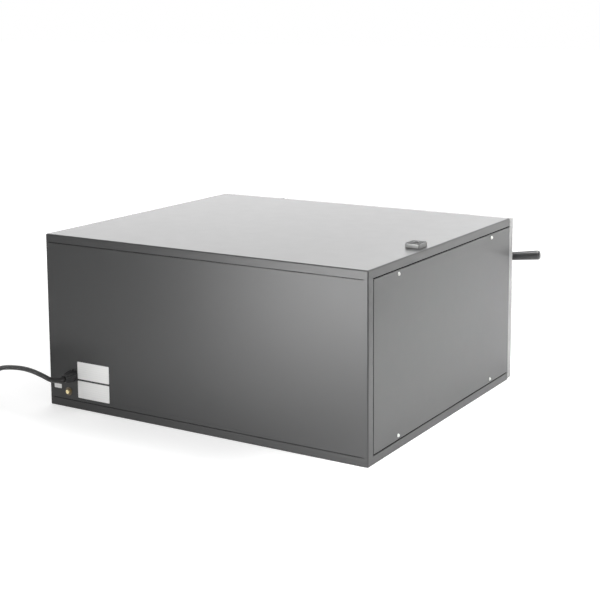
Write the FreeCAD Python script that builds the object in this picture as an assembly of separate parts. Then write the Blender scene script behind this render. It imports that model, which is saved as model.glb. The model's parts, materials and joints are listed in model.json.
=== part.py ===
"""Drying cabinet for filament spools, as an assembly of separate pieces.

Units are millimetres. +Z is up, the door faces -Y, and the origin is the middle of the underside.
"""
import FreeCAD, Part
import math
import os

os.makedirs("parts", exist_ok=True)
V = FreeCAD.Vector
TINY = 0.001

# Cabinet shell
cabinet_width = 584.0
cabinet_depth = 512.0        # door face to rear panel
cabinet_height = 280.0
sheet = 1.5                  # outer sheet metal
flange_height = 13.0         # upstand of the base tray and downstand of the top cover
seam = 2.0                   # open joint round a side panel
rear_seam = 1.0              # open joint above and below the rear panel
rear_corner = 7.0            # rear panel's closed corner, where that joint ends
rear_return = 14.5           # rear panel wrapped onto each side
bend_r = 2.0                 # outside of a folded edge

# Panel screws
screw_inset_y = 91.0         # from the cabinet's ends to the screws
screw_edge = 6.0             # from a panel's long edge to the screws
screw_head_r = 2.8
screw_head_height = 1.6
screw_shank_r = 1.75
screw_length = 8.0
screw_slot_width = 1.0
screw_slot_depth = 0.9

# Clearances
slip = 0.2                   # loose seat between fixed pieces
running = 0.05               # shaft in its bearing, on the radius
travel_gap = 0.4             # between faces that move past each other

# Drying chamber
chamber_sheet = 1.0
floor_insulation = 21.5
roof_insulation = 20.5
rear_insulation = 25.5
left_insulation = 12.0
right_insulation = 25.0
mouth_lip_left = 27.0        # front frame standing in front of the chamber's left wall
mouth_lip = 7.0              # and of its floor and roof
partition_setback = 7.0      # bay partition, left of the fascia's edge

# Door and fascia
door_thickness = 16.0
door_rear_gap = 0.6          # shut door to front frame
door_side_gap = 3.0          # door edge to fascia edge
door_foot_gap = 2.0          # under the door and fascia
door_head_gap = 1.0          # above the door and fascia
door_sheet = 1.2
liner_setback = 3.4          # liner in from the door's rear edge
fascia_width = 129.0
bay_mouth_margin = 14.0      # fascia edge to the frame's bay opening

# Window
window_height = 140.0
window_latch_gap = 6.0       # bezel to the latch's escutcheon
window_mouth_inset = 42.0    # window's right edge, in from the mouth's
bezel_width = 12.0
bezel_proud = 2.5
bezel_wall = 2.0
glass_ledge = 4.0
glass_thickness = 4.0

# Gasket
gasket_width = 9.0
gasket_offset = 4.0          # from the mouth's edge
gasket_gap = 0.3             # shut gasket to front frame

# Hinges
hinge_length = 50.0
hinge_inset = 55.0           # from the cabinet's top and bottom to a hinge's middle
hinge_leaf_width = 20.0
hinge_leaf = 2.0
knuckle_r = 4.2
hinge_pin_r = 2.2
knuckle_lift = 0.4           # knuckle clear of the door's face

# Lever latch
lever_inset = 56.0           # from the cabinet's left side to the spindle
lever_drop = 78.0            # from the cabinet's top to the spindle
lever_standoff = 22.0        # door face to the lever's arm
lever_lean = 15.0            # degrees that the arm leans out from the door
lever_rise = 5.0             # degrees above level at rest
lever_length = 93.0          # spindle to the grip's end
escutcheon_r = 17.0
escutcheon_thickness = 6.0
lever_hub_r = 11.0
lever_hub_front = 10.0       # hub past the arm's middle
lever_arm_r = 4.6
lever_arm_end = 18.0         # grip's end past the arm's end
spindle_r = 5.0
grip_start = 26.0
grip_root_r = 6.5
grip_end_r = 7.8
grip_round = 6.0
cam_length = 20.0
cam_width = 11.0
cam_boss_r = 9.0
cam_thickness = 5.0
cam_gap = 0.6                # cam to the lip's rear face
cam_nut_r = 7.0
cam_nut_height = 4.0

# Controls on the fascia
display_width = 70.0
display_height = 34.0
display_drop = 78.0          # from the cabinet's top to the display's middle
display_proud = 0.6
display_flange = 3.0
display_flange_thickness = 2.0
button_r = 6.0
button_flange_r = 8.0
button_flange = 1.5
button_pitch = 27.0
button_below_display = 44.0
button_proud = 2.5
button_travel = 1.5
button_play = 0.3
button_stem_r = 2.0
button_stem = 2.2
case_margin = 6.0            # controller case round the display and buttons
case_depth = 62.0
switch_rise = 66.0           # from the cabinet's bottom to the switch's middle
switch_width = 20.0
switch_height = 28.0
switch_flange = 2.5
switch_flange_thickness = 1.5
switch_depth = 20.0
switch_wall = 2.0
switch_pocket = 13.0
rocker_play = 0.5
rocker_tilt = 8.0            # degrees each side of the middle
rocker_crest = 3.6           # rocker's ends past its pivot
rocker_dip = 1.6             # rocker's middle past its pivot
rocker_depth = 5.0
rocker_sink = 1.0            # pivot behind the fascia's face
trunnion_r = 1.5
trunnion_length = 1.4

# Fan, heater, probe and baffle
fan_shaft_r = 4.0
fan_plate_r = 58.0
fan_plate = 1.6
fan_hub_r = 11.0
fan_blades = 12
fan_blade_inner_r = 28.0
fan_blade_depth = 20.0
fan_blade = 1.4
fan_wall_gap = 6.0           # impeller to the chamber's right wall
motor_r = 31.0
motor_length = 44.0
motor_flange = 72.0
motor_flange_thickness = 3.0
motor_end_wall = 4.0
shaft_hole_r = 7.0
heater_ring_r = 78.0
heater_tube_r = 4.0
heater_wall_gap = 18.0       # ring's middle to the chamber's right wall
heater_leg_spread = 11.0
heater_leg_past = 16.0       # legs past the partition
leg_clearance = 0.3
baffle_sheet = 1.5
plenum_depth = 42.0          # baffle to the chamber's right wall
baffle_slots = 9
baffle_slot_height = 5.0
baffle_slot_pitch = 10.5
baffle_intake_r = 50.0
outlet_slot_width = 12.0
outlet_slot_height = 52.0
outlet_slot_inset = 34.0
outlet_slot_rows = 3
outlet_slot_pitch = 66.0
probe_r = 3.0
probe_reach = 30.0
probe_nut_r = 6.0
probe_nut = 4.0
probe_y = -150.0
probe_drop = 32.0            # under the chamber's roof
probe_tail = 12.0

# Spool rollers
roller_r = 9.0
roller_shaft_r = 4.0
roller_height = 18.0         # roller axis over the chamber floor
roller_spacing = 110.0       # between the two rollers under a spool
spool_row_pitch = 220.0      # between the two rows of spools
bracket_sheet = 2.0
bracket_height = 30.0
bracket_foot = 18.0
bracket_end = 32.0           # bracket past the outermost roller
bracket_wall_gap = 6.0       # left bracket's foot to the chamber wall
bracket_baffle_gap = 6.0     # right bracket to the baffle
bush_r = 6.0
bush_flange_r = 8.0
bush_flange = 1.2
bush_past = 1.0              # bush past the bracket's outer face
roller_end_gap = 0.5
shaft_end_past = 2.0

# Filament outlet on the top cover
outlet_width = 24.0
outlet_depth = 27.0
outlet_height = 6.5
outlet_inset = 22.0          # from the cabinet's left side to its middle
outlet_y = 66.5
outlet_bore_r = 2.1
spigot_r = 4.0
spigot_past = 3.0            # spigot below the chamber's roof
outlet_round = 2.0

# Rear panel fittings
gland_inset = 49.0           # from the cabinet's right side
gland_z = 54.3
gland_thread_r = 7.8
gland_flats = 18.0
gland_hex = 5.0
gland_dome = 18.0
gland_dome_r = 8.4
gland_mouth_r = 5.6
gland_nut = 5.0
gland_tail = 4.0             # thread past its nut
plate_width = 64.0
plate_height = 28.0
plate_gap = 3.0
plate_thickness = 0.4
plate_inset = 58.6           # from the cabinet's right side to the plates
plate_z = 19.6
tag_width = 15.0
tag_height = 7.0
tag_inset = 9.2
tag_z = 29.5
earth_inset = 39.2
earth_z = 27.0
earth_head_r = 3.2
earth_head = 3.2
earth_washer_r = 6.0
earth_washer = 1.0
earth_shank_r = 2.4
earth_length = 14.0
earth_nut_r = 4.6
earth_nut = 3.6

# Terminal block in the bay
terminal_width = 46.0
terminal_depth = 22.0
terminal_height = 24.0
terminal_ways = 4
terminal_hole_r = 2.6
terminal_hole_depth = 9.0
terminal_from_rear = 70.0

# Mains cord
cord_r = 3.75
cord_floor = 4.7             # height of the cord's middle where it lies
coil_outer_r = 56.5          # middle of the outermost turn
coil_pitch = 8.1             # from turn to turn and from layer to layer
coil_turns = 3               # in each of the two layers
coil_tail = 44.0             # straight tail to the plug
arc_share = 0.45             # of the shorter run, taken up by a bend
plug_r = 18.0
plug_length = 38.0
plug_axis_z = 18.3
plug_sleeve = 20.0
plug_sleeve_r = 8.0
plug_sleeve_end_r = 5.2
plug_pin_r = 2.4
plug_pin_length = 19.0
plug_pin_pitch = 19.0
plug_round = 3.0

# Places worked out from the sizes above
half = cabinet_width / 2
y_door = -cabinet_depth / 2
y_front = y_door + door_thickness
y_inside = y_front + sheet
y_rear = cabinet_depth / 2
y_rear_inside = y_rear - sheet
x_inside = half - 2 * sheet
z_top_inside = cabinet_height - sheet
fascia_x = half - fascia_width
partition_x = fascia_x - partition_setback - sheet
chamber_x0 = -x_inside + left_insulation + chamber_sheet
chamber_x1 = partition_x - right_insulation - chamber_sheet
chamber_y1 = y_rear_inside - rear_insulation - chamber_sheet
chamber_z0 = sheet + floor_insulation + chamber_sheet
chamber_z1 = z_top_inside - roof_insulation - chamber_sheet
chamber_mid_y = (y_inside + chamber_y1) / 2
chamber_mid_z = (chamber_z0 + chamber_z1) / 2
baffle_x = chamber_x1 - plenum_depth
mouth_x0 = chamber_x0 + mouth_lip_left
mouth_x1 = baffle_x - baffle_sheet
mouth_z0 = chamber_z0 + mouth_lip
mouth_z1 = chamber_z1 - mouth_lip
door_x0 = -half
door_x1 = fascia_x - door_side_gap
door_z0 = door_foot_gap
door_z1 = cabinet_height - door_head_gap
door_y1 = y_front - door_rear_gap
liner_y1 = door_y1 - liner_setback
liner_y0 = liner_y1 - door_sheet
door_mid_z = (door_z0 + door_z1) / 2
fan_z = chamber_mid_z
fascia_mid_x = (fascia_x + half) / 2
fascia_back = y_door + sheet
display_z = cabinet_height - display_drop
button_z = display_z - button_below_display
button_xs = [fascia_mid_x + i * button_pitch for i in (-1, 0, 1)]
hinge_x = (door_x1 + fascia_x) / 2
hinge_y = y_door - knuckle_lift - knuckle_r
hinge_zs = [hinge_inset, cabinet_height - hinge_inset]
lever_x = -half + lever_inset
window_x0 = lever_x + escutcheon_r + window_latch_gap + bezel_width
window_x1 = mouth_x1 - window_mouth_inset
lever_z = cabinet_height - lever_drop
lever_y = y_door - lever_standoff
roller_z = chamber_z0 + roller_height
roller_ys = [chamber_mid_y + row * spool_row_pitch / 2 + side * roller_spacing / 2
             for row in (-1, 1) for side in (-1, 1)]
outlet_x = -half + outlet_inset
gland_x = half - gland_inset
gland_exit_y = y_rear + gland_hex + gland_dome


def block(x0, x1, y0, y1, z0, z1):
    """Box between two corners."""
    return Part.makeBox(x1 - x0, y1 - y0, z1 - z0, V(x0, y0, z0))


def rod(radius, start, end):
    """Round bar from one point to another."""
    start = V(*start)
    along = V(*end) - start
    return Part.makeCylinder(radius, along.Length, start, along)


def taper(radius0, radius1, start, end):
    """Round bar whose radius changes steadily from one end to the other."""
    start = V(*start)
    along = V(*end) - start
    return Part.makeCone(radius0, radius1, along.Length, start, along)


def hexagon(flats, start, end):
    """Six-sided bar along Y, flats apart, from one point to another."""
    start = V(*start)
    corner = flats / math.sqrt(3)
    points = []
    for i in range(7):
        turn = math.radians(60 * i + 30)
        points.append(start + V(corner * math.cos(turn), 0, corner * math.sin(turn)))
    return Part.Face(Part.makePolygon(points)).extrude(V(*end) - start)


def frame(x0, x1, y0, y1, z0, z1, hole):
    """Plate in the XZ plane with one rectangular hole, given as x0, x1, z0, z1."""
    return block(x0, x1, y0, y1, z0, z1).cut(block(hole[0], hole[1], y0 - 1, y1 + 1, hole[2], hole[3]))


def joined(pieces):
    """Pieces fused into one solid."""
    return pieces[0].multiFuse(pieces[1:]).removeSplitter()


def eased(shape, radius, at_edge):
    """Shape with a fillet on every straight edge whose middle passes a test."""
    chosen = [edge for edge in shape.Edges if at_edge(edge.CenterOfMass)]
    return shape.makeFillet(radius, chosen)


def save(node, shape):
    """Write one node's solids to its file, after a test that they are sound."""
    if not shape.isValid() or not shape.Solids:
        raise ValueError(node + " is not a sound solid")
    shape.exportStep("parts/" + node + ".step")


def tray(plate_z0, plate_z1, flange_z0, flange_z1):
    """Flat plate with an upstand or downstand on both sides and the rear, its folds eased."""
    outer_z = 0 if plate_z0 == 0 else cabinet_height
    folded = joined([
        block(-half, half, y_front, y_rear, plate_z0, plate_z1),
        block(-half, -half + sheet, y_front, y_rear, flange_z0, flange_z1),
        block(half - sheet, half, y_front, y_rear, flange_z0, flange_z1),
        block(-half, half, y_rear_inside, y_rear, flange_z0, flange_z1)])

    def is_fold(middle):
        on_side = abs(abs(middle.x) - half) < TINY
        on_rear = abs(middle.y - y_rear) < TINY
        on_face = abs(middle.z - outer_z) < TINY
        return on_side + on_rear + on_face == 2
    return eased(folded, bend_r, is_fold)


panel_z0 = flange_height + seam
panel_z1 = cabinet_height - panel_z0
screw_ys = [-cabinet_depth / 2 + screw_inset_y, cabinet_depth / 2 - screw_inset_y]
screw_zs = [panel_z0 + screw_edge, panel_z1 - screw_edge]


def screw_holes(side, radius):
    """Bars that cut the four screw holes of one side, left -1 or right 1."""
    return [rod(radius, (side * (half + 1), y, z), (side * (half - screw_length), y, z))
            for y in screw_ys for z in screw_zs]


def make_shell():
    """Base, top, rear, side panels, the plates behind them, and the panel screws."""
    save("base_tray", tray(0, sheet, 0, flange_height))
    cover = tray(z_top_inside, cabinet_height, cabinet_height - flange_height, cabinet_height)
    bore = rod(spigot_r + slip, (outlet_x, outlet_y, z_top_inside - 1),
               (outlet_x, outlet_y, cabinet_height + 1))
    save("top_cover", cover.cut(bore))

    z0, z1 = flange_height, cabinet_height - flange_height
    rear = joined([
        block(-half, half, y_rear_inside, y_rear, z0 + rear_seam, z1 - rear_seam),
        block(-half, -half + rear_corner, y_rear_inside, y_rear, z0, z1),
        block(half - rear_corner, half, y_rear_inside, y_rear, z0, z1),
        block(-half, -half + sheet, y_rear - rear_return, y_rear, z0, z1),
        block(half - sheet, half, y_rear - rear_return, y_rear, z0, z1)])
    rear = eased(rear, bend_r, lambda middle: abs(abs(middle.x) - half) + abs(middle.y - y_rear) < TINY)
    through = (y_rear_inside - 1, y_rear + 1)
    earth_x = half - earth_inset
    gland_hole = rod(gland_thread_r + slip, (gland_x, through[0], gland_z), (gland_x, through[1], gland_z))
    earth_hole = rod(earth_shank_r + slip, (earth_x, through[0], earth_z), (earth_x, through[1], earth_z))
    save("rear_panel", rear.cut(gland_hole).cut(earth_hole))

    screws = []
    for name, side in (("left", -1), ("right", 1)):
        outer_x = sorted([side * half, side * (half - sheet)])
        panel = block(outer_x[0], outer_x[1], y_front, y_rear - rear_return - seam, panel_z0, panel_z1)
        save("side_panel_" + name, panel.cut(Part.makeCompound(screw_holes(side, screw_shank_r + slip))))
        inner_x = sorted([side * (half - sheet), side * x_inside])
        plate = block(inner_x[0], inner_x[1], y_front, y_rear_inside, sheet, z_top_inside)
        save("inner_side_" + name, plate.cut(Part.makeCompound(screw_holes(side, screw_shank_r + slip / 2))))
        screws += [panel_screw(side, y, z) for y in screw_ys for z in screw_zs]
    save("panel_screws", Part.makeCompound(screws))


def panel_screw(side, y, z):
    """Pan-head screw with a cross recess, its head on a side panel's face."""
    face = side * half
    top = face + side * screw_head_height
    shank = rod(screw_shank_r, (face - side * 2 * sheet, y, z), (face, y, z))
    head = taper(screw_head_r, screw_head_r * 0.7, (face, y, z), (top, y, z))
    floor = top - side * screw_slot_depth
    x0, x1 = sorted([floor, top + side])
    arm = screw_head_r * 0.55
    half_slot = screw_slot_width / 2
    cross = block(x0, x1, y - arm, y + arm, z - half_slot, z + half_slot).fuse(
        block(x0, x1, y - half_slot, y + half_slot, z - arm, z + arm))
    return shank.fuse(head).removeSplitter().cut(cross)


def make_front_frame():
    """Plate round the chamber's mouth and the bay, and the wall between the two."""
    plate = frame(-x_inside, x_inside, y_front, y_inside, sheet, z_top_inside,
                  (mouth_x0, mouth_x1, mouth_z0, mouth_z1))
    bay = block(fascia_x + bay_mouth_margin, x_inside - bay_mouth_margin, y_front - 1, y_inside + 1,
                door_z0 + 2 * bay_mouth_margin, door_z1 - 2 * bay_mouth_margin)
    save("front_frame", plate.cut(bay))
    wall = block(partition_x, partition_x + sheet, y_inside, y_rear_inside, sheet, z_top_inside)
    save("bay_partition", wall.cut(wall_holes()))


def heater_legs(radius, x0, x1):
    """The heater's two straight legs along X."""
    z = fan_z + heater_ring_r
    return [rod(radius, (x0, y, z), (x1, y, z)) for y in (-heater_leg_spread, heater_leg_spread)]


def wall_holes():
    """Everything that passes from the chamber into the bay, as cutting bars."""
    x0 = chamber_x1 - 1
    x1 = partition_x + sheet + 1
    probe_z = chamber_z1 - probe_drop
    bars = [rod(shaft_hole_r, (x0, 0, fan_z), (x1, 0, fan_z)),
            rod(probe_r + leg_clearance, (x0, probe_y, probe_z), (x1, probe_y, probe_z))]
    return Part.makeCompound(bars + heater_legs(heater_tube_r + leg_clearance, x0, x1))


def make_chamber():
    """Inner walls as five plates, and the insulation between them and the shell."""
    t = chamber_sheet
    bore = rod(spigot_r + slip, (outlet_x, outlet_y, chamber_z1 - 1), (outlet_x, outlet_y, cabinet_height))
    x0, x1, y1, z0, z1 = chamber_x0, chamber_x1, chamber_y1, chamber_z0, chamber_z1
    save("chamber_floor", block(x0 - t, x1 + t, y_inside, y1 + t, z0 - t, z0))
    save("chamber_roof", block(x0 - t, x1 + t, y_inside, y1 + t, z1, z1 + t).cut(bore))
    save("chamber_left", block(x0 - t, x0, y_inside, y1 + t, z0, z1))
    save("chamber_right", block(x1, x1 + t, y_inside, y1 + t, z0, z1).cut(wall_holes()))
    save("chamber_rear", block(x0, x1, y1, y1 + t, z0, z1))
    save("insulation_floor", block(-x_inside, partition_x, y_inside, y_rear_inside, sheet, z0 - t))
    roof = block(-x_inside, partition_x, y_inside, y_rear_inside, z1 + t, z_top_inside)
    save("insulation_roof", roof.cut(bore))
    save("insulation_left", block(-x_inside, x0 - t, y_inside, y_rear_inside, z0 - t, z1 + t))
    slab = block(x1 + t, partition_x, y_inside, y_rear_inside, z0 - t, z1 + t)
    save("insulation_right", slab.cut(wall_holes()))
    save("insulation_rear", block(x0 - t, x1 + t, y1 + t, y_rear_inside, z0 - t, z1 + t))


def window_hole(margin):
    """Window's hole, larger by a margin, as x0, x1, z0, z1."""
    return (window_x0 - margin, window_x1 + margin,
            door_mid_z - window_height / 2 - margin, door_mid_z + window_height / 2 + margin)


def pan(x0, x1, z0, z1, y0, y1, thickness):
    """Folded sheet pan, open at the rear, its folds eased."""
    def is_fold(middle):
        on_side = min(abs(middle.x - x0), abs(middle.x - x1)) < TINY
        on_end = min(abs(middle.z - z0), abs(middle.z - z1)) < TINY
        on_face = abs(middle.y - y0) < TINY
        return on_side + on_end + on_face == 2
    outer = block(x0, x1, y0, y1, z0, z1)
    inner = block(x0 + thickness, x1 - thickness, y0 + thickness, y1 + 1, z0 + thickness, z1 - thickness)
    return eased(outer, bend_r, is_fold).cut(inner)


def make_door():
    """Door skin, liner, insulation, window and gasket."""
    t = door_sheet
    spindle = rod(spindle_r + slip, (lever_x, y_door - 1, lever_z), (lever_x, door_y1 + 1, lever_z))
    tube = window_hole(bezel_wall)
    through = block(tube[0], tube[1], y_door - 1, door_y1 + 1, tube[2], tube[3])
    skin = pan(door_x0, door_x1, door_z0, door_z1, y_door, door_y1, t)
    save("door_skin", skin.cut(through).cut(spindle))
    inner = (door_x0 + t, door_x1 - t, door_z0 + t, door_z1 - t)
    save("door_liner", frame(inner[0], inner[1], liner_y0, liner_y1, inner[2], inner[3],
                             window_hole(-glass_ledge)).cut(spindle))
    wool = frame(inner[0], inner[1], y_door + t, liner_y0, inner[2], inner[3], tube)
    save("door_insulation", wool.cut(spindle))

    glass_y0 = liner_y0 - glass_thickness
    rim = window_hole(bezel_width)
    bezel = joined([
        frame(rim[0], rim[1], y_door - bezel_proud, y_door, rim[2], rim[3], window_hole(-glass_ledge)),
        frame(tube[0], tube[1], y_door, glass_y0, tube[2], tube[3], window_hole(-glass_ledge)),
        frame(tube[0], tube[1], glass_y0, liner_y0, tube[2], tube[3], window_hole(0))])
    save("window_bezel", bezel)
    pane = window_hole(-slip)
    save("window_glass", block(pane[0], pane[1], glass_y0, liner_y0, pane[2], pane[3]))

    near = gasket_offset
    far = gasket_offset + gasket_width
    save("door_gasket", frame(mouth_x0 - far, mouth_x1 + far, liner_y1, y_front - gasket_gap,
                              mouth_z0 - far, mouth_z1 + far,
                              (mouth_x0 - near, mouth_x1 + near, mouth_z0 - near, mouth_z1 + near)))


def hinge_leaf_piece(side, z, z0, z1, bore_r):
    """Leaf on the door, side -1, or on the fascia, side 1, with its knuckles between z0 and z1."""
    near = door_side_gap / 2
    x0, x1 = sorted([hinge_x + side * near, hinge_x + side * (near + hinge_leaf_width)])
    leaf = block(x0, x1, y_door - hinge_leaf, y_door, z - hinge_length / 2, z + hinge_length / 2)
    under = V(hinge_x, hinge_y, z - hinge_length / 2 - 1)
    leaf = leaf.cut(Part.makeCylinder(knuckle_r + travel_gap, hinge_length + 2, under))
    inside, outside = sorted([hinge_x, hinge_x + side * (knuckle_r + travel_gap + 1)])
    for low, high in zip(z0, z1):
        knuckle = Part.makeCylinder(knuckle_r, high - low, V(hinge_x, hinge_y, low))
        web = block(inside, outside, y_door - hinge_leaf, y_door - knuckle_lift, low, high)
        leaf = leaf.fuse(knuckle).fuse(web)
    return leaf.removeSplitter().cut(Part.makeCylinder(bore_r, hinge_length + 2, under))


def make_hinges():
    """Two butt hinges on the front, the pins fast in the cabinet's knuckles."""
    fixed, swung, pins = [], [], []
    third = hinge_length / 3
    for z in hinge_zs:
        low = z - hinge_length / 2
        high = z + hinge_length / 2
        fixed.append(hinge_leaf_piece(1, z, (low, high - third), (low + third, high), hinge_pin_r + running))
        swung.append(hinge_leaf_piece(-1, z, (low + third + travel_gap,), (high - third - travel_gap,),
                                      hinge_pin_r + running))
        pins.append(Part.makeCylinder(hinge_pin_r, hinge_length, V(hinge_x, hinge_y, low)))
    save("hinge_leaves_cabinet", Part.makeCompound(fixed))
    save("hinge_leaves_door", Part.makeCompound(swung))
    save("hinge_pins", Part.makeCompound(pins))


lean = math.radians(lever_lean)
rise = math.radians(lever_rise)
lever_way = V(-math.cos(lean) * math.cos(rise), -math.sin(lean) * math.cos(rise), math.sin(rise))


def on_lever(distance):
    """Point on the lever's arm, a distance from the spindle's axis."""
    return V(lever_x, lever_y, lever_z) + lever_way * distance


def make_lever():
    """Escutcheon on the door, and the lever, grip and cam that turn in it."""
    plate = rod(escutcheon_r, (lever_x, y_door - escutcheon_thickness, lever_z), (lever_x, y_door, lever_z))
    bore = rod(spindle_r + running, (lever_x, y_door - escutcheon_thickness - 1, lever_z),
               (lever_x, y_door + 1, lever_z))
    rim = [edge for edge in plate.Edges if edge.BoundBox.YMax < y_door - escutcheon_thickness + 0.01]
    save("latch_escutcheon", plate.makeChamfer(1.2, rim[:1]).cut(bore))

    hub_y1 = y_door - escutcheon_thickness - travel_gap
    hub_y0 = lever_y - lever_hub_front
    cam_y0 = y_inside + cam_gap
    cam_y1 = cam_y0 + cam_thickness
    hub = rod(lever_hub_r, (lever_x, hub_y0, lever_z), (lever_x, hub_y1, lever_z))
    nose = [edge for edge in hub.Edges if edge.BoundBox.YMax < hub_y0 + 0.01]
    hub = hub.makeFillet(2.5, nose[:1])
    spindle = rod(spindle_r, (lever_x, hub_y1 - 1, lever_z), (lever_x, cam_y1 + cam_nut_height, lever_z))
    arm = rod(lever_arm_r, on_lever(0), on_lever(lever_length - lever_arm_end))
    save("lever_hub", joined([hub, spindle, arm]))

    end = lever_length - grip_round
    body = taper(grip_root_r, grip_end_r, on_lever(grip_start), on_lever(end))
    cap = taper(grip_end_r, grip_end_r - grip_round * 0.45, on_lever(end), on_lever(lever_length))
    grip = body.fuse(cap).removeSplitter()
    bore = rod(lever_arm_r + slip / 2, on_lever(0), on_lever(lever_length - lever_arm_end + slip))
    save("lever_grip", grip.cut(bore))

    boss = rod(cam_boss_r, (lever_x, cam_y0, lever_z), (lever_x, cam_y1, lever_z))
    blade = block(lever_x - cam_width / 2, lever_x + cam_width / 2, cam_y0, cam_y1,
                  lever_z, lever_z + cam_length)
    blade.rotate(V(lever_x, 0, lever_z), V(0, 1, 0), lever_rise)
    hole = rod(spindle_r + slip / 2, (lever_x, cam_y0 - 1, lever_z), (lever_x, cam_y1 + 1, lever_z))
    nut = rod(cam_nut_r, (lever_x, cam_y1, lever_z), (lever_x, cam_y1 + cam_nut_height, lever_z))
    nut = nut.cut(rod(spindle_r + slip / 2, (lever_x, cam_y1 - 1, lever_z),
                      (lever_x, cam_y1 + cam_nut_height + 1, lever_z)))
    save("latch_cam", Part.makeCompound([boss.fuse(blade).removeSplitter().cut(hole), nut]))


def make_controls():
    """Fascia, controller with its display and buttons, and the rocker switch."""
    fascia = pan(fascia_x, half, door_z0, door_z1, y_door, y_front, sheet)
    y0 = y_door - 1
    y1 = fascia_back + 1
    wide = display_width / 2
    tall = display_height / 2
    fascia = fascia.cut(block(fascia_mid_x - wide, fascia_mid_x + wide, y0, y1,
                              display_z - tall, display_z + tall))
    for x in button_xs:
        fascia = fascia.cut(rod(button_r + button_play, (x, y0, button_z), (x, y1, button_z)))
    half_w = switch_width / 2
    half_h = switch_height / 2
    fascia = fascia.cut(block(fascia_mid_x - half_w - slip, fascia_mid_x + half_w + slip, y0, y1,
                              switch_rise - half_h - slip, switch_rise + half_h + slip))
    save("control_fascia", fascia)

    rim = display_flange
    flange_y1 = fascia_back + display_flange_thickness
    lens = block(fascia_mid_x - wide + slip, fascia_mid_x + wide - slip, y_door - display_proud, fascia_back,
                 display_z - tall + slip, display_z + tall - slip)
    back = block(fascia_mid_x - wide - rim, fascia_mid_x + wide + rim, fascia_back, flange_y1,
                 display_z - tall - rim, display_z + tall + rim)
    save("display_lens", joined([lens, back]))

    case_wide = max(wide + rim, button_pitch + button_flange_r) + case_margin
    case = block(fascia_mid_x - case_wide, fascia_mid_x + case_wide, flange_y1, flange_y1 + case_depth,
                 button_z - button_flange_r - case_margin, display_z + tall + rim + case_margin)
    flange_y0 = fascia_back + button_play
    flange_end = flange_y0 + button_flange
    pocket_floor = flange_end + button_stem + button_travel + travel_gap
    for x in button_xs:
        case = case.cut(rod(button_flange_r + 1, (x, flange_y1 - 1, button_z), (x, pocket_floor, button_z)))
    lip = case_margin / 2
    lips = [block(fascia_mid_x + side * case_wide - lip, fascia_mid_x + side * case_wide + lip, fascia_back,
                  flange_y1 + lip, display_z - tall, display_z + tall) for side in (-1, 1)]
    save("controller_case", joined([case] + lips))

    for name, x in zip(("button_down", "button_set", "button_up"), button_xs):
        cap = rod(button_r, (x, y_door - button_proud, button_z), (x, flange_end, button_z))
        edge = [e for e in cap.Edges if e.BoundBox.YMax < y_door - button_proud + 0.01]
        cap = cap.makeFillet(1.0, edge[:1])
        flange = rod(button_flange_r, (x, flange_y0, button_z), (x, flange_end, button_z))
        stem = rod(button_stem_r, (x, flange_end, button_z), (x, flange_end + button_stem, button_z))
        save(name, joined([cap, flange, stem]))
    make_switch(half_w, half_h)


def make_switch(half_w, half_h):
    """Rocker switch: a body clipped into the fascia, and the rocker on its trunnions."""
    x, z = fascia_mid_x, switch_rise
    edge = switch_flange
    flange_y0 = y_door - switch_flange_thickness
    body = joined([
        block(x - half_w - edge, x + half_w + edge, flange_y0, y_door, z - half_h - edge, z + half_h + edge),
        block(x - half_w, x + half_w, y_door, y_door + switch_depth, z - half_h, z + half_h)])
    in_w = half_w - switch_wall
    in_h = half_h - switch_wall
    body = body.cut(block(x - in_w, x + in_w, flange_y0 - 1, flange_y0 + switch_pocket, z - in_h, z + in_h))
    pivot_y = y_door + rocker_sink
    rocker_w = in_w - rocker_play
    pin_w = rocker_w + trunnion_length
    body = body.cut(rod(trunnion_r + running, (x - pin_w - slip, pivot_y, z), (x + pin_w + slip, pivot_y, z)))
    save("switch_body", body)

    reach = in_h - 2 * rocker_play
    outline = [(-rocker_crest, -reach), (-rocker_dip, 0), (-rocker_crest, reach), (rocker_depth * 0.4, reach),
               (rocker_depth, 0), (rocker_depth * 0.4, -reach), (-rocker_crest, -reach)]
    points = [V(x - rocker_w, pivot_y + y, z + up) for y, up in outline]
    rocker = Part.Face(Part.makePolygon(points)).extrude(V(2 * rocker_w, 0, 0))
    rocker = rocker.fuse(rod(trunnion_r, (x - pin_w, pivot_y, z), (x + pin_w, pivot_y, z)))
    rocker.rotate(V(x, pivot_y, z), V(1, 0, 0), -rocker_tilt)
    save("switch_rocker", rocker.removeSplitter())


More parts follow.
